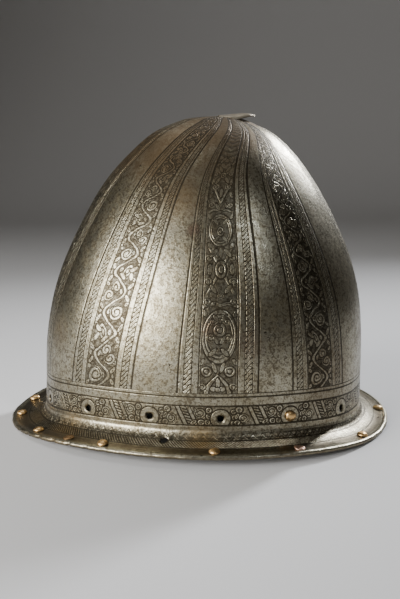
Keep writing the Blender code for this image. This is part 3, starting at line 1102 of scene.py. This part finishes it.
# Trophy band, mirrored about its middle, in half widths up from its foot
MEDALLIONS = ((0.0, 1.46, 0.425, 0.68, 0.0), (0.0, 4.56, 0.36, 0.56, 0.0))
TROPHY_RINGS = (
    # across, up, half width, half height, lean
    (0.285, 0.56, 0.125, 0.125, 0.0),
    (0.0, 1.62, 0.145, 0.155, 0.0),
    (0.0, 3.28, 0.150, 0.250, 0.0),
    (0.0, 2.52, 0.085, 0.075, 0.0),
    (0.0, 4.50, 0.100, 0.150, 0.0),
    (0.0, 6.90, 0.110, 0.140, 0.0),
)
TROPHY_LEAVES = (
    # across, up, half width, half height, lean
    (0.0, 0.27, 0.052, 0.120, 0.0),
    (0.115, 0.115, 0.062, 0.062, 0.0),
    (0.0, 0.095, 0.056, 0.056, 0.0),
    (0.10, 0.66, 0.045, 0.130, -0.35),
    (0.40, 0.80, 0.045, 0.085, 0.55),
    (0.40, 2.06, 0.050, 0.100, -0.60),
    (0.085, 1.36, 0.045, 0.105, -0.55),
    (0.15, 1.05, 0.050, 0.120, 0.75),
    (0.11, 1.93, 0.045, 0.100, -0.70),
    (0.20, 2.72, 0.050, 0.135, -0.60),
    (0.31, 3.28, 0.060, 0.150, 0.0),
    (0.20, 3.78, 0.055, 0.150, 0.65),
    (0.0, 3.80, 0.045, 0.150, 0.0),
    (0.33, 4.02, 0.050, 0.095, -0.5),
    (0.12, 4.24, 0.045, 0.110, 0.70),
    (0.14, 4.84, 0.045, 0.110, -0.60),
    (0.38, 5.05, 0.045, 0.110, -0.45),
    (0.10, 5.42, 0.055, 0.150, -0.50),
    (0.0, 6.02, 0.060, 0.190, 0.0),
    (0.18, 6.62, 0.060, 0.170, 0.45),
    (0.16, 7.25, 0.060, 0.190, -0.45),
    (0.17, 7.85, 0.070, 0.200, 0.45),
    (0.37, 5.92, 0.050, 0.150, 0.40),
    (0.37, 6.62, 0.050, 0.130, -0.40),
)
TROPHY_CURLS = (
    # across, up, radius, windings, start
    (0.375, 0.16, 0.100, 1.6, 0.0),
    (0.215, 1.42, 0.120, 1.7, 2.2),
    (0.175, 1.83, 0.095, 1.5, 0.6),
    (0.345, 2.36, 0.115, 1.7, 3.0),
    (0.335, 2.92, 0.130, 1.7, 1.0),
    (0.345, 3.62, 0.125, 1.7, -1.0),
    (0.320, 5.50, 0.130, 1.7, 0.5),
    (0.250, 6.30, 0.140, 1.7, 2.5),
    (0.330, 6.95, 0.130, 1.6, 0.0),
    (0.330, 7.60, 0.130, 1.6, 2.0),
)


# Worked out shapes of the trophy band, in half widths
PALMETTE = (0.27, 0.43)     # half width at the foot and height of the inner arch
PALMETTE_LAYERS = ((1.36, 1.0), (1.20, 0.0), (0.88, 1.0), (0.72, GROUND))
STAFFS_AT = 3.28            # where the two staffs cross
STAFF_SLOPE = 0.50
STAFF_REACH = (0.74, 0.66)
STAFF_HALF = 0.034
STAFF_RIM = 0.036
BOWS = (
    # part, up, waves across, swing, half width, rim
    ("trophy_middle", 2.26, 8.5, 0.055, 0.034, 0.040),
    ("trophy_high", 5.24, 9.5, 0.060, 0.036, 0.042),
)
VEE_AT = 5.62               # the foot of the vee above the upper bow
VEE_SLOPE = 0.42
VEE_FROM = (5.55, 5.60)
VEE_TO = (6.62, 6.50)
VEE_HALF = 0.040
VEE_RIM = 0.040
CHEVRON_STEP = 0.40
CHEVRON_SLOPE = 1.5
CHEVRONS_FROM = (6.6, 7.2)

# The trophy band's three parts, each a material of its own, in half widths up
TROPHY_PARTS = {
    "trophy_low": (-1.0, 2.14),
    "trophy_middle": (2.14, 5.12),
    "trophy_high": (5.12, 99.0),
}


def within_part(rows, low, high, tall=3):
    """The rows of a table whose shapes reach into a part of the band."""
    return [row for row in rows if low - 1.5 * row[tall] < row[1] < high + 1.5 * row[tall]]


def trophies(tree, across, up, part):
    """One part of the trophy band, mirrored about the band's middle: palmette, bosses,
    medallions, bows, crossed staffs and leaves. The palmette's arch is a parabola, the
    staffs and the vee are straight, and a bow is a sine."""
    low, high = TROPHY_PARTS[part]
    side = across.size()
    place = vector_of(tree, side, up)
    ink = ground_tone(tree, vector_of(tree, across, up), GROUND)
    if part == "trophy_high":
        chevron = (up / CHEVRON_STEP - side * CHEVRON_SLOPE).zigzag()
        ink = ink.paint(up.step(*CHEVRONS_FROM) * chevron.step(0.62, 0.42), 0.1)
    if part == "trophy_low":
        half, tall = PALMETTE
        arch_way = side / half + (up / tall) * (up / tall)
        for edge, tone in PALMETTE_LAYERS:
            ink = ink.paint(arch_way.inside(edge, SOFT), tone)
    ink = paint_ovals(ink, tree, place, within_part(MEDALLIONS, low, high), FRAMED, SOFT / 2)
    if part == "trophy_middle":
        staff = (side - (up - STAFFS_AT).size() * STAFF_SLOPE).size()
        reach = (up - STAFFS_AT).size().step(*STAFF_REACH)
        ink = paint_strap(ink, staff, STAFF_HALF, STAFF_RIM, SHARP, reach)
    for bow_part, bow_at, waves, swing, half, rim in BOWS:
        if bow_part == part:
            bow = (up - bow_at - (side * waves).sine() * swing).size()
            ink = paint_strap(ink, bow, half, rim, SHARP)
    if part == "trophy_high":
        vee = (side - (up - VEE_AT) * VEE_SLOPE).size()
        reach = up.step(*VEE_FROM) * up.step(*VEE_TO)
        ink = paint_strap(ink, vee, VEE_HALF, VEE_RIM, SHARP, reach)
    ink = paint_spirals(ink, side, up, within_part(TROPHY_CURLS, low, high, 2))
    ink = paint_ovals(ink, tree, place, within_part(TROPHY_LEAVES, low, high), OUTLINED)
    return paint_ovals(ink, tree, place, within_part(TROPHY_RINGS, low, high), HOLLOW)


def band_material(name, kind):
    """A band: edge line, rope, plain strip and a field of ornament in its middle."""
    material, tree, shader = new_material(name)
    across, up = pattern_place(tree)
    node = tree.nodes.new("ShaderNodeAttribute")
    node.attribute_name = "span"
    span = Field(tree, node.outputs["Fac"])
    if kind in TROPHY_PARTS:
        ornament = trophies(tree, across, up, kind)
        lines = band_lines(across, span, FRAME_LINE)
    else:
        ornament = scroll(tree, across, up)
        lines = band_lines(across, span)
    field = across.size().inside(FIELD_EDGE - FIELD_SOFT, FIELD_SOFT)
    wear = wear_cloud(tree, *BAND_WEAR)
    ink = worn((ornament * field).most(rope(across, up)).most(0.0), wear, 0.86)
    ink = ink.most(worn(lines, wear, 0.92))
    return finish_steel(material, tree, shader, ink, ink * -ETCH)


# Girdle ornament between two holes, in millimetres along from a hole and up from the foot
GIRDLE_STRAPS = (
    # middle, half width
    (19.5, 1.15),
    (27.0, 1.05),
)
STRAP_RIM = 0.95            # dark edge of a strap
GIRDLE_SLANT = 0.46
LADDER_MIDDLE = 23.2
LADDER_HALF = 2.6
RUNG = 2.2                  # from one rung of the ladder to the next
RUNG_SLANT = 0.12
GIRDLE_OVALS = (
    # along, up, half width, half height, lean
    (8.6, 5.4, 1.6, 1.7, 0.0),
    (9.3, 9.6, 1.5, 1.8, 0.0),
    (8.8, 13.9, 1.7, 1.7, 0.0),
    (12.6, 15.2, 2.2, 2.1, 0.0),
    (11.4, 5.8, 1.9, 1.7, 0.4),
    (11.2, 10.6, 1.0, 2.2, -0.5),
    (31.0, 6.2, 1.2, 2.4, -0.9),
    (36.4, 6.2, 2.2, 2.0, 0.0),
    (40.6, 6.2, 1.8, 2.0, 0.0),
    (41.6, 10.6, 1.9, 2.1, 0.0),
    (41.4, 15.0, 1.9, 2.1, 0.0),
    (31.2, 15.6, 1.0, 2.2, 0.8),
)
GIRDLE_CURLS = (
    # along, up, radius, windings, start
    (15.6, 8.7, 3.8, 2.4, 0.4),
    (35.4, 13.0, 3.9, 2.4, 2.6),
)
ROUNDEL = 7.1               # radius of the bright disc round each hole
ROUNDEL_LINE = 1.0
HOLE_SHADE = 3.1            # radius of the painted shade round the hole itself, a dark ring that makes the hole look wider
GIRDLE_SHARP = 0.2          # soft border of its shapes
GIRDLE_FLECKS = (0.9, 2.0, 0.6)
GIRDLE_CONTRAST = 0.8
GIRDLE_PALE = 0.14
GIRDLE_DIRT = 0.14          # dirt all over the girdle, and a darkening towards the foot
FOOT_DARKENING = 0.35
FOOT_DARKENING_EDGE = (4.0, -1.0)


def girdle_material():
    """The strip round the foot: a bright roundel at each hole, and between two of them
    scallops, curls and a slanting ladder between straps."""
    material, tree, shader = new_material("girdle_steel")
    share, rise = pattern_place(tree)
    cell = GIRTH / LINING_HOLES * 1000
    along = ((share - LINING_TURN) * LINING_HOLES).part() * cell
    rise = rise * 1000
    place = vector_of(tree, along, rise)
    ink = noise(tree, place, *GIRDLE_FLECKS) * GIRDLE_CONTRAST - GIRDLE_PALE
    slant = along - (GIRDLE_HIGH * 1000 - rise) * GIRDLE_SLANT
    between = (slant - LADDER_MIDDLE).size().inside(LADDER_HALF, GIRDLE_SHARP)
    rungs = (rise / RUNG + slant * RUNG_SLANT).zigzag()
    ink = ink.paint(between, rungs.step(0.35, 0.75))
    for middle, half in GIRDLE_STRAPS:
        ink = paint_strap(ink, (slant - middle).size(), half, STRAP_RIM, 0.15)
    ink = paint_spirals(ink, along, rise, GIRDLE_CURLS)
    ink = paint_ovals(ink, tree, place, GIRDLE_OVALS, RINGED, 0.08)
    nearest = along.least(cell - along)
    hole_way = far(nearest, rise - LINING_RISE * 1000)
    ink = paint_strap(ink, hole_way, ROUNDEL - ROUNDEL_LINE / 2, ROUNDEL_LINE, GIRDLE_SHARP)
    # painted shade: a dark ring round each hole, so that the hole's dark opening looks wider
    # than its cut
    ink = ink.most(hole_way.inside(HOLE_SHADE, 0.5) * 0.7)
    within = rise.step(GIRDLE_LOW * 1000 - 0.1, GIRDLE_LOW * 1000 + 0.1)
    within = within * rise.inside(GIRDLE_HIGH * 1000, 0.1)
    ink = worn(ink * within, wear_cloud(tree, *GIRDLE_WEAR), 0.88)
    for at, width in ((BAND_FOOT, LINE), (BAND_LINE, LINE), (GIRDLE_HIGH, GIRDLE_LINE),
                      (GIRDLE_LOW, GIRDLE_LINE)):
        ink = ink.most(stroke(rise - at * 1000, width * 1000) * 0.95)
    # even dirt over the girdle, and darker towards the foot at the crease into the brim
    dirt_and_foot_darkening = rise.step(*FOOT_DARKENING_EDGE) * FOOT_DARKENING + GIRDLE_DIRT
    return finish_steel(material, tree, shader, ink, ink * -ETCH, dirt_and_foot_darkening)


# Brim ornament: millimetres out from the skull's foot
BEAD_LENGTH = 6.6
GADROON_START = 4.7
GADROON_END = 11.6
GADROON_STEP = 1.95
GADROON_SLANT = 0.95
GADROON_CUT = (0.40, 0.70)  # where a swell gives way to the cut beside it
GADROON_WANDER = 1.6
GADROON_DEPTH = 0.00020     # in metres
WAVE_AT = 2.5               # the wavy stem between the beads
WAVE_SWING = 1.0
WAVE_LAYERS = ((0.75, 0.15, 1.0), (0.38, 0.12, 0.1))
BEADS_START = 0.4
BEADS_END = 4.2
HOLLOW_FROM = (11.5, 14.5)  # where the dull hollow begins and is dull in full
BRIM_BEADS = (
    # along, out, half width, half height, lean
    (1.65, 3.3, 0.75, 0.60, 0.0),
    (-1.65, 1.6, 0.75, 0.60, 0.0),
)


def brim_material():
    """The brim: a strip of small beads at the skull, slanting gadroons, then a dull
    brown hollow and the rubbed, bright turned rim."""
    material, tree, shader = new_material("brim_steel")
    share, rise = pattern_place(tree)
    place = own_place(tree)
    out = rise * -1000.0
    along = share * (GIRTH * 1000)
    bead = ((along / BEAD_LENGTH).part() - 0.5) * BEAD_LENGTH
    ink = noise(tree, place, 260.0, 2.0, 0.6) * 1.2
    wave = (out - WAVE_AT - (along * (2 * math.pi / BEAD_LENGTH)).sine() * WAVE_SWING).size()
    for edge, soft, tone in WAVE_LAYERS:
        ink = ink.paint(wave.inside(edge, soft), tone)
    ink = paint_ovals(ink, tree, vector_of(tree, bead, out), BRIM_BEADS, HOLLOW, 0.1)
    ink = ink * out.step(BEADS_START, BEADS_START + 0.3) * out.inside(BEADS_END, 0.15)
    wander = noise(tree, place, 60.0, 2.0, 0.5) * GADROON_WANDER
    gadroon = ((along - out * GADROON_SLANT + wander) / GADROON_STEP).zigzag()
    gadroon = gadroon.step(*GADROON_CUT)
    gadroon = gadroon * out.step(GADROON_START, GADROON_START + 0.4)
    gadroon = gadroon * out.inside(GADROON_END, 0.5)
    ink = worn(ink.most(gadroon), wear_cloud(tree, *BRIM_WEAR), 0.72)
    for at in (BEADS_END + 0.3, GADROON_END + 0.5):
        ink = ink.most(stroke(out - at, LINE * 1000) * 0.9)
    flat = BRIM_FLAT * 1000
    hollow = out.step(*HOLLOW_FROM) * out.step(flat - 1.0, flat - 2.6)
    cloud = noise(tree, place, 130.0, 3.0, 0.6)
    dark = hollow * (0.45 + cloud * 0.7)
    bright = out.step(flat - 0.6, flat + 0.8) * out.inside(flat + 3.6, 0.4)
    bright = bright * cloud.step(0.36, 0.58) * 0.75
    depth = ink * -ETCH + gadroon * -GADROON_DEPTH
    return finish_steel(material, tree, shader, ink, depth, dark, bright)


# Clouds of forge scale inside the skull: features a metre and detail
SCALE_CLOUD = (45.0, 3.0)
SCALE_CONTRAST = 0.6
INSIDE_DARK = 0.35


def plain_steel(name, darken=0.0):
    """Steel with no ornament, darkened in clouds where it was never polished."""
    material, tree, shader = new_material(name)
    dark = None
    if darken:
        dark = noise(tree, own_place(tree), *SCALE_CLOUD) * SCALE_CONTRAST + darken
    return finish_steel(material, tree, shader, dark=dark)


# Cloudy patterns of small pieces: features a metre, detail and roughness, and relief
METAL_CLOUD = (420.0, 4.0, 0.62)
METAL_DENTS = (1100.0, 2.0, 0.50)
METAL_CLOUD_RELIEF = 0.00008
METAL_DENT_RELIEF = 0.00003
METAL_STAIN_EDGE = (0.30, 0.72)


def worn_metal(name, colour, stain, tarnish, rough):
    """Old metal of a small piece: its colour, cloudy patches of stain and dents."""
    material, tree, shader = new_material(name)
    place = own_place(tree)
    cloud = noise(tree, place, *METAL_CLOUD)
    dents = noise(tree, place, *METAL_DENTS)
    patch = (cloud * 0.8 + dents * 0.35 + tarnish - 0.6).step(*METAL_STAIN_EDGE)
    set_finish(tree, shader, blend(tree, patch, colour, stain),
               cloud * 0.22 + patch * 0.15 + rough,
               cloud * METAL_CLOUD_RELIEF + dents * METAL_DENT_RELIEF)
    return material


# The stalk's sections from root to tip, the same as the solid's but for its length:
# along is a share of the length, width a share of the way from tip width to root width,
# lift and hang are shares of the root width, and hug is how far it follows the skull
STALK_STEEL = (0.33, 0.29, 0.22)
STALK_OVERHANG = 0.0195
STALK_SHORTER = 0.0022      # the photo's tip ends a little before the solid's
STALK_ROOT = 0.0100
STALK_ROOT_WIDTH = 0.0160
STALK_TIP_WIDTH = 0.0046
STALK_THICKNESS = 0.0016
STALK_SINK = 0.0012
STALK_BOW = 0.0012          # the sides end so much before the middle
STALK_ROUND = 32            # points round a section
STALK_SEAT = 0.0002
STALK_POINT = 0.0004
STALK_HALVES = (0.52, 0.68) # half thickness at the root and further on, as shares
STALK_THIN_TIP = 0.6        # share of the thickness that is lost towards the tip
STALK_SECTIONS = (
    # along, width, lift, hang, hug
    (0.00, 0.55, 0.00, 0.00, 1.00),
    (0.25, 0.90, 0.05, 0.04, 1.00),
    (0.42, 1.00, 0.08, 0.20, 0.40),
    (0.62, 0.80, 0.09, 0.16, 0.05),
    (0.84, 0.42, 0.07, 0.08, 0.00),
    (1.00, 0.00, -0.01, 0.03, 0.00),
)


TINY = 1e-9                 # keeps a division clear of nought


def crest_fall(x, y):
    """Fall of the skull below its crest: the height at which the section's oval, with
    half axes beside and behind the crest, just reaches the point."""
    rows = SECTION_CURVE[::-1]
    behind = np.maximum((rows[:, 2] - CREST) * HALF_LENGTH, TINY)
    ahead = np.maximum((rows[:, 1] + CREST) * HALF_LENGTH, TINY)
    beside = np.maximum(rows[:, 3] * HALF_WIDTH, TINY)
    along = np.where((y > 0)[..., None], behind, ahead)
    way = np.hypot(x[..., None] / beside, y[..., None] / along)
    k = np.maximum((way <= 1).argmax(axis=-1), 1)
    before = np.take_along_axis(way, k[..., None] - 1, -1)[..., 0]
    after = np.take_along_axis(way, k[..., None], -1)[..., 0]
    fall = (1 - rows[:, 0]) * RISE
    between = (1 / after - 1) / np.maximum(1 / after - 1 / np.maximum(before, TINY), TINY)
    return fall[k] - np.clip(between, 0, 1) * (fall[k] - fall[k - 1])


def build_stalk(material):
    """The tongue at the crest: an arched section with round edges, carried from its root
    in the plate back to the overhanging tip. Across goes as a cosine round the section,
    and the two sheets part as the square root of a sine."""
    rows = spline(STALK_SECTIONS, 8)
    share, width, lift, hang, hug = (rows[:, k][:, None] for k in range(5))
    round_way = np.linspace(0, 2 * math.pi, STALK_ROUND, endpoint=False)
    across = np.cos(round_way)[None, :] + 0 * share
    lip = np.sin(round_way)[None, :]
    half = (STALK_TIP_WIDTH + (STALK_ROOT_WIDTH - STALK_TIP_WIDTH) * width) / 2
    x = half * across
    length = STALK_ROOT + STALK_OVERHANG - STALK_SHORTER
    y = length * share - STALK_ROOT - STALK_BOW * (across ** 2) * share
    sunk = STALK_THICKNESS - STALK_SINK - crest_fall(x, y)
    free = STALK_ROOT_WIDTH * (lift - hang * across ** 2)
    top = sunk * hug + free * (1 - hug)
    at_root, further = STALK_HALVES
    thin = STALK_THICKNESS * (at_root + (further - at_root) * smooth(share / 0.4))
    thin = thin * (1 - STALK_THIN_TIP * smooth((share - 0.75) / 0.25))
    z = top - thin + thin * np.sign(lip) * np.abs(lip) ** 0.5
    rings = np.stack([x + 0 * z, y + SKULL_BEHIND + APEX_BEHIND,
                      z + SKULL_HEIGHT - STALK_SEAT], -1)
    tip = rings[-1].mean(axis=0) + (0, STALK_POINT, 0)
    points, quads, fans, index = closed_loft(rings, rings[0].mean(axis=0), tip)
    new_piece("crest_stalk", points, quads, fans, [material], "steel")


# Rivets, the same as the solids' but rounder
RIVET_PLACE = 0.83          # share of the brim's flat width at which they sit
RIVET_HEAD = 0.0039
RIVET_DOME = 0.0021
RIVET_EDGE = 0.0004
RIVET_SHANK = 0.0015
RIVET_TAIL = 0.0023
RIVET_TAIL_HEIGHT = 0.0008
RIVET_GAP = 0.0003
RIVET_ROUND = 28            # points round a rivet
HEAD_ROWS = 10              # rings of points over its dome, with the top
HEAD_WAVES = (0.022, 0.014)     # unevenness in three and in seven waves, as shares
HEAD_FADE = 0.0006          # the unevenness sets in over this height above the plate
HEAD_LEAN = 0.00018         # how far two sides of a dome stand higher
WORN_DENTS = 0.0006         # depth of the dents in a head that is worn down
BRIM_RIVETS = (
    # share of the girth, height as a share of a whole dome's, metal
    (-0.288, 1.00, "brass"),
    (-0.243, 1.00, "brass"),
    (-0.180, 1.00, "brass"),
    (-0.138, 0.35, "rusty"),
    (-0.101, 1.00, "brass"),
    (-0.002, 1.00, "brass"),
    (0.073, 0.35, "bare"),
    (0.151, 1.00, "brass"),
    (0.236, 1.00, "dull"),
    (0.320, 1.00, "brass"),
    (0.400, 1.00, "dull"),
    (0.480, 1.00, "brass"),
    (0.560, 1.00, "brass"),
    (0.640, 1.00, "dull"),
)


RIVET_METALS = (
    # metal, material, colour, stain, tarnish, roughness
    ("brass", "rivet_brass", (0.62, 0.41, 0.19), (0.20, 0.11, 0.045), 0.03, 0.27),
    ("dull", "rivet_dull_brass", (0.46, 0.32, 0.15), (0.10, 0.06, 0.03), 0.15, 0.26),
    ("rusty", "rivet_rust", (0.27, 0.17, 0.085), (0.085, 0.038, 0.018), 0.1, 0.38),
    ("bare", "rivet_bare", (0.55, 0.36, 0.27), (0.20, 0.10, 0.07), 0.05, 0.28),
)


def rivet_section(dome, seat):
    """Half section of a rivet from the top down its outer side: nearly a quarter oval for
    the head, a rounded lip, the shank and the clenched tail below the plate."""
    angle = np.linspace(math.pi / 2, 0, HEAD_ROWS)[1:]
    base = RIVET_GAP + seat + RIVET_EDGE
    head = np.stack([RIVET_HEAD * np.cos(angle) ** 0.9,
                     base + RIVET_DOME * dome * np.sin(angle) ** 1.1], -1)
    under = -PLATE - RIVET_GAP
    rest = [
        # out from the rivet's axis, height above the plate
        (RIVET_HEAD, base - RIVET_EDGE * 0.6),
        (RIVET_HEAD * 0.97, base - RIVET_EDGE),
        (RIVET_SHANK, base - RIVET_EDGE),
        (RIVET_SHANK, under),
        (RIVET_TAIL * 0.94, under),
        (RIVET_TAIL, under - RIVET_TAIL_HEIGHT / 4),
        (RIVET_TAIL * 0.8, under - RIVET_TAIL_HEIGHT),
    ]
    return np.vstack([head, rest]), base + RIVET_DOME * dome, under - RIVET_TAIL_HEIGHT


def build_rivet(name, node, share, rise, dome, seat, material):
    """One rivet: its half section turned about the plate's normal. Hand work shows as a
    few slow waves round the head and a slight lean of its dome."""
    place, beside = np.array([share]), np.array([rise])
    origin = sheet(place, beside)[0]
    normal = sheet_normal(place, beside)[0]
    across = sheet(place + 0.001, beside)[0] - sheet(place - 0.001, beside)[0]
    across /= np.linalg.norm(across)
    along = np.cross(normal, across)
    section, top, bottom = rivet_section(dome, seat)
    seed = share * 97.0
    angle = np.linspace(0, 2 * math.pi, RIVET_ROUND, endpoint=False)[None, :]
    out, height = section[:, :1], section[:, 1:]
    on_head = smooth(height / HEAD_FADE)
    three, seven = HEAD_WAVES
    wave = three * np.sin(3 * angle + seed) + seven * np.sin(7 * angle + 2 * seed)
    uneven = 1 + on_head * wave
    height = height + on_head * (out / RIVET_HEAD) * HEAD_LEAN * np.sin(2 * angle + 3 * seed) \
        - on_head * (1 - dome) * WORN_DENTS * np.sin(5 * angle + seed) ** 2
    out = np.minimum(out * uneven, RIVET_HEAD * 1.01)
    rings = (origin + (out * np.cos(angle))[..., None] * across
             + (out * np.sin(angle))[..., None] * along + height[..., None] * normal)
    points, quads, fans, index = closed_loft(rings, origin + normal * top,
                                             origin + normal * bottom)
    new_piece(name, points, quads, fans, [material], "brass", node)


def build_rivets():
    """The rivets round the brim, seated where their heads clear its curve, and the one
    left in the row of lining holes."""
    metals = {metal: worn_metal(*looks) for metal, *looks in RIVET_METALS}
    out = BRIM_FLAT * RIVET_PLACE
    beside = brim_top(np.array([out - RIVET_HEAD, out + RIVET_HEAD])).mean()
    seat = max(0.0, beside - float(brim_top(np.array(out))))
    for k, (share, dome, metal) in enumerate(BRIM_RIVETS):
        build_rivet(f"brim_rivet_head_{k + 1:02d}", f"brim_rivet_{k + 1:02d}", share, -out,
                    dome, seat, metals[metal])
    share = LINING_TURN + LINING_RIVET_AT / LINING_HOLES
    build_rivet("lining_rivet_head", "lining_rivet", share, LINING_RISE, dome=1.0,
                seat=0.0, material=metals["brass"])


# Soft boxes that face the helmet: metres, watts and degrees, the azimuth from +X
LIGHT_AIM = 0.10            # height that they face
LIGHTS = (
    # name, azimuth, distance, height, width, tall, power, spread, colour
    ("key", -57, 1.15, 0.37, 1.10, 0.64, 11.2, 100, (1.0, 0.985, 0.95)),
    ("strip", 27, 1.10, 0.95, 0.035, 0.45, 0.20, 60, (0.90, 0.95, 1.0)),
    ("edge", 135, 1.10, 0.75, 0.10, 0.50, 3.0, 60, (0.95, 0.97, 1.0)),
    ("top", -150, 0.45, 1.30, 0.70, 0.70, 1.2, 90, (1.0, 1.0, 1.0)),
)
ROOM_GLOW = (0.046, 0.041, 0.034, 1)


def soft_box(name, azimuth, distance, height, width, tall, power, spread, colour):
    """A lit rectangle that stands at an azimuth and faces the helmet."""
    data = bpy.data.lights.new(name, "AREA")
    data.shape = "RECTANGLE"
    data.size = width
    data.size_y = tall
    data.energy = power
    data.color = colour
    data.spread = math.radians(spread)
    light = bpy.data.objects.new(name, data)
    bpy.context.scene.collection.objects.link(light)
    angle = math.radians(azimuth)
    light.location = (distance * math.cos(angle), distance * math.sin(angle), height)
    look = Vector((0, 0, LIGHT_AIM)) - light.location
    light.rotation_euler = look.to_track_quat("-Z", "Y").to_euler()


# Camera, fitted to the photo's 400 pixel wide frame: metres and radians
CAMERA_AWAY = 0.7357
CAMERA_HEIGHT = 0.2414
CAMERA_TURN = -0.09
CAMERA_DOWN = 0.2036
FOCAL_PIXELS = 981.9
FRAME_PIXELS = 400
SENSOR = 36.0


def add_camera():
    """The photo's view: turned a little to the front from +X and tilted down."""
    data = bpy.data.cameras.new("camera")
    data.sensor_fit = "HORIZONTAL"
    data.sensor_width = SENSOR
    data.lens = FOCAL_PIXELS / FRAME_PIXELS * SENSOR
    camera = bpy.data.objects.new("camera", data)
    bpy.context.scene.collection.objects.link(camera)
    flat = Vector((math.cos(CAMERA_TURN), math.sin(CAMERA_TURN), 0))
    camera.location = flat * CAMERA_AWAY + Vector((0, 0, CAMERA_HEIGHT))
    look = -flat * math.cos(CAMERA_DOWN) - Vector((0, 0, math.sin(CAMERA_DOWN)))
    camera.rotation_euler = look.to_track_quat("-Z", "Y").to_euler()
    bpy.context.scene.camera = camera


# The floor, in metres: its front edge, where it begins to sweep up, and its wall
FLOOR_HALF = 3.0
FLOOR_FRONT = 2.5
SWEEP_START = -1.2
SWEEP_RADIUS = 1.0
SWEEP_ROWS = 12
WALL_TOP = 2.5
FLOOR_PALE = (0.62, 0.62, 0.63, 1)


def add_stage():
    """A pale floor that sweeps up behind the helmet: flat, then a quarter circle."""
    across = np.linspace(-FLOOR_HALF, FLOOR_HALF, 3)
    part = np.linspace(0, 1, SWEEP_ROWS)
    back = SWEEP_START - SWEEP_RADIUS
    way = np.concatenate([[FLOOR_FRONT], SWEEP_START - SWEEP_RADIUS * part, [back]])
    sweep = SWEEP_RADIUS * (1 - np.sqrt(1 - part ** 2))
    rise = np.concatenate([[0], sweep, [WALL_TOP]])
    x = np.repeat(way[:, None], len(across), 1)
    z = np.repeat(rise[:, None], len(across), 1)
    y = np.tile(across, (len(way), 1))
    points = np.stack([x, y, z], -1).reshape(-1, 3)
    index = np.arange(len(points)).reshape(len(way), len(across))
    faces = np.stack([index[:-1, :-1], index[:-1, 1:], index[1:, 1:], index[1:, :-1]], -1)
    mesh = bpy.data.meshes.new("floor")
    mesh.from_pydata(points.tolist(), [], faces.reshape(-1, 4).tolist())
    mesh.shade_smooth()
    material, tree, shader = new_material("pale_floor")
    shader.inputs["Base Color"].default_value = FLOOR_PALE
    shader.inputs["Roughness"].default_value = 0.9
    mesh.materials.append(material)
    floor = bpy.data.objects.new("floor", mesh)
    bpy.context.scene.collection.objects.link(floor)


def add_lights():
    """The soft boxes, and a faint warm glow from all round."""
    world = bpy.data.worlds.new("studio")
    world.use_nodes = True
    world.node_tree.nodes["Background"].inputs["Color"].default_value = ROOM_GLOW
    bpy.context.scene.world = world
    for row in LIGHTS:
        soft_box(*row)


add_camera()
add_stage()
add_lights()
build_plate([
    plain_steel("panel_steel"),
    band_material("foliage_band_steel", "foliage"),
    band_material("trophy_foot_steel", "trophy_low"),
    band_material("trophy_middle_steel", "trophy_middle"),
    band_material("trophy_top_steel", "trophy_high"),
    girdle_material(),
    brim_material(),
    plain_steel("inside_steel", INSIDE_DARK),
])
build_stalk(worn_metal("stalk_steel", STALK_STEEL, STEEL_DULL, tarnish=0.0, rough=0.34))
build_rivets()
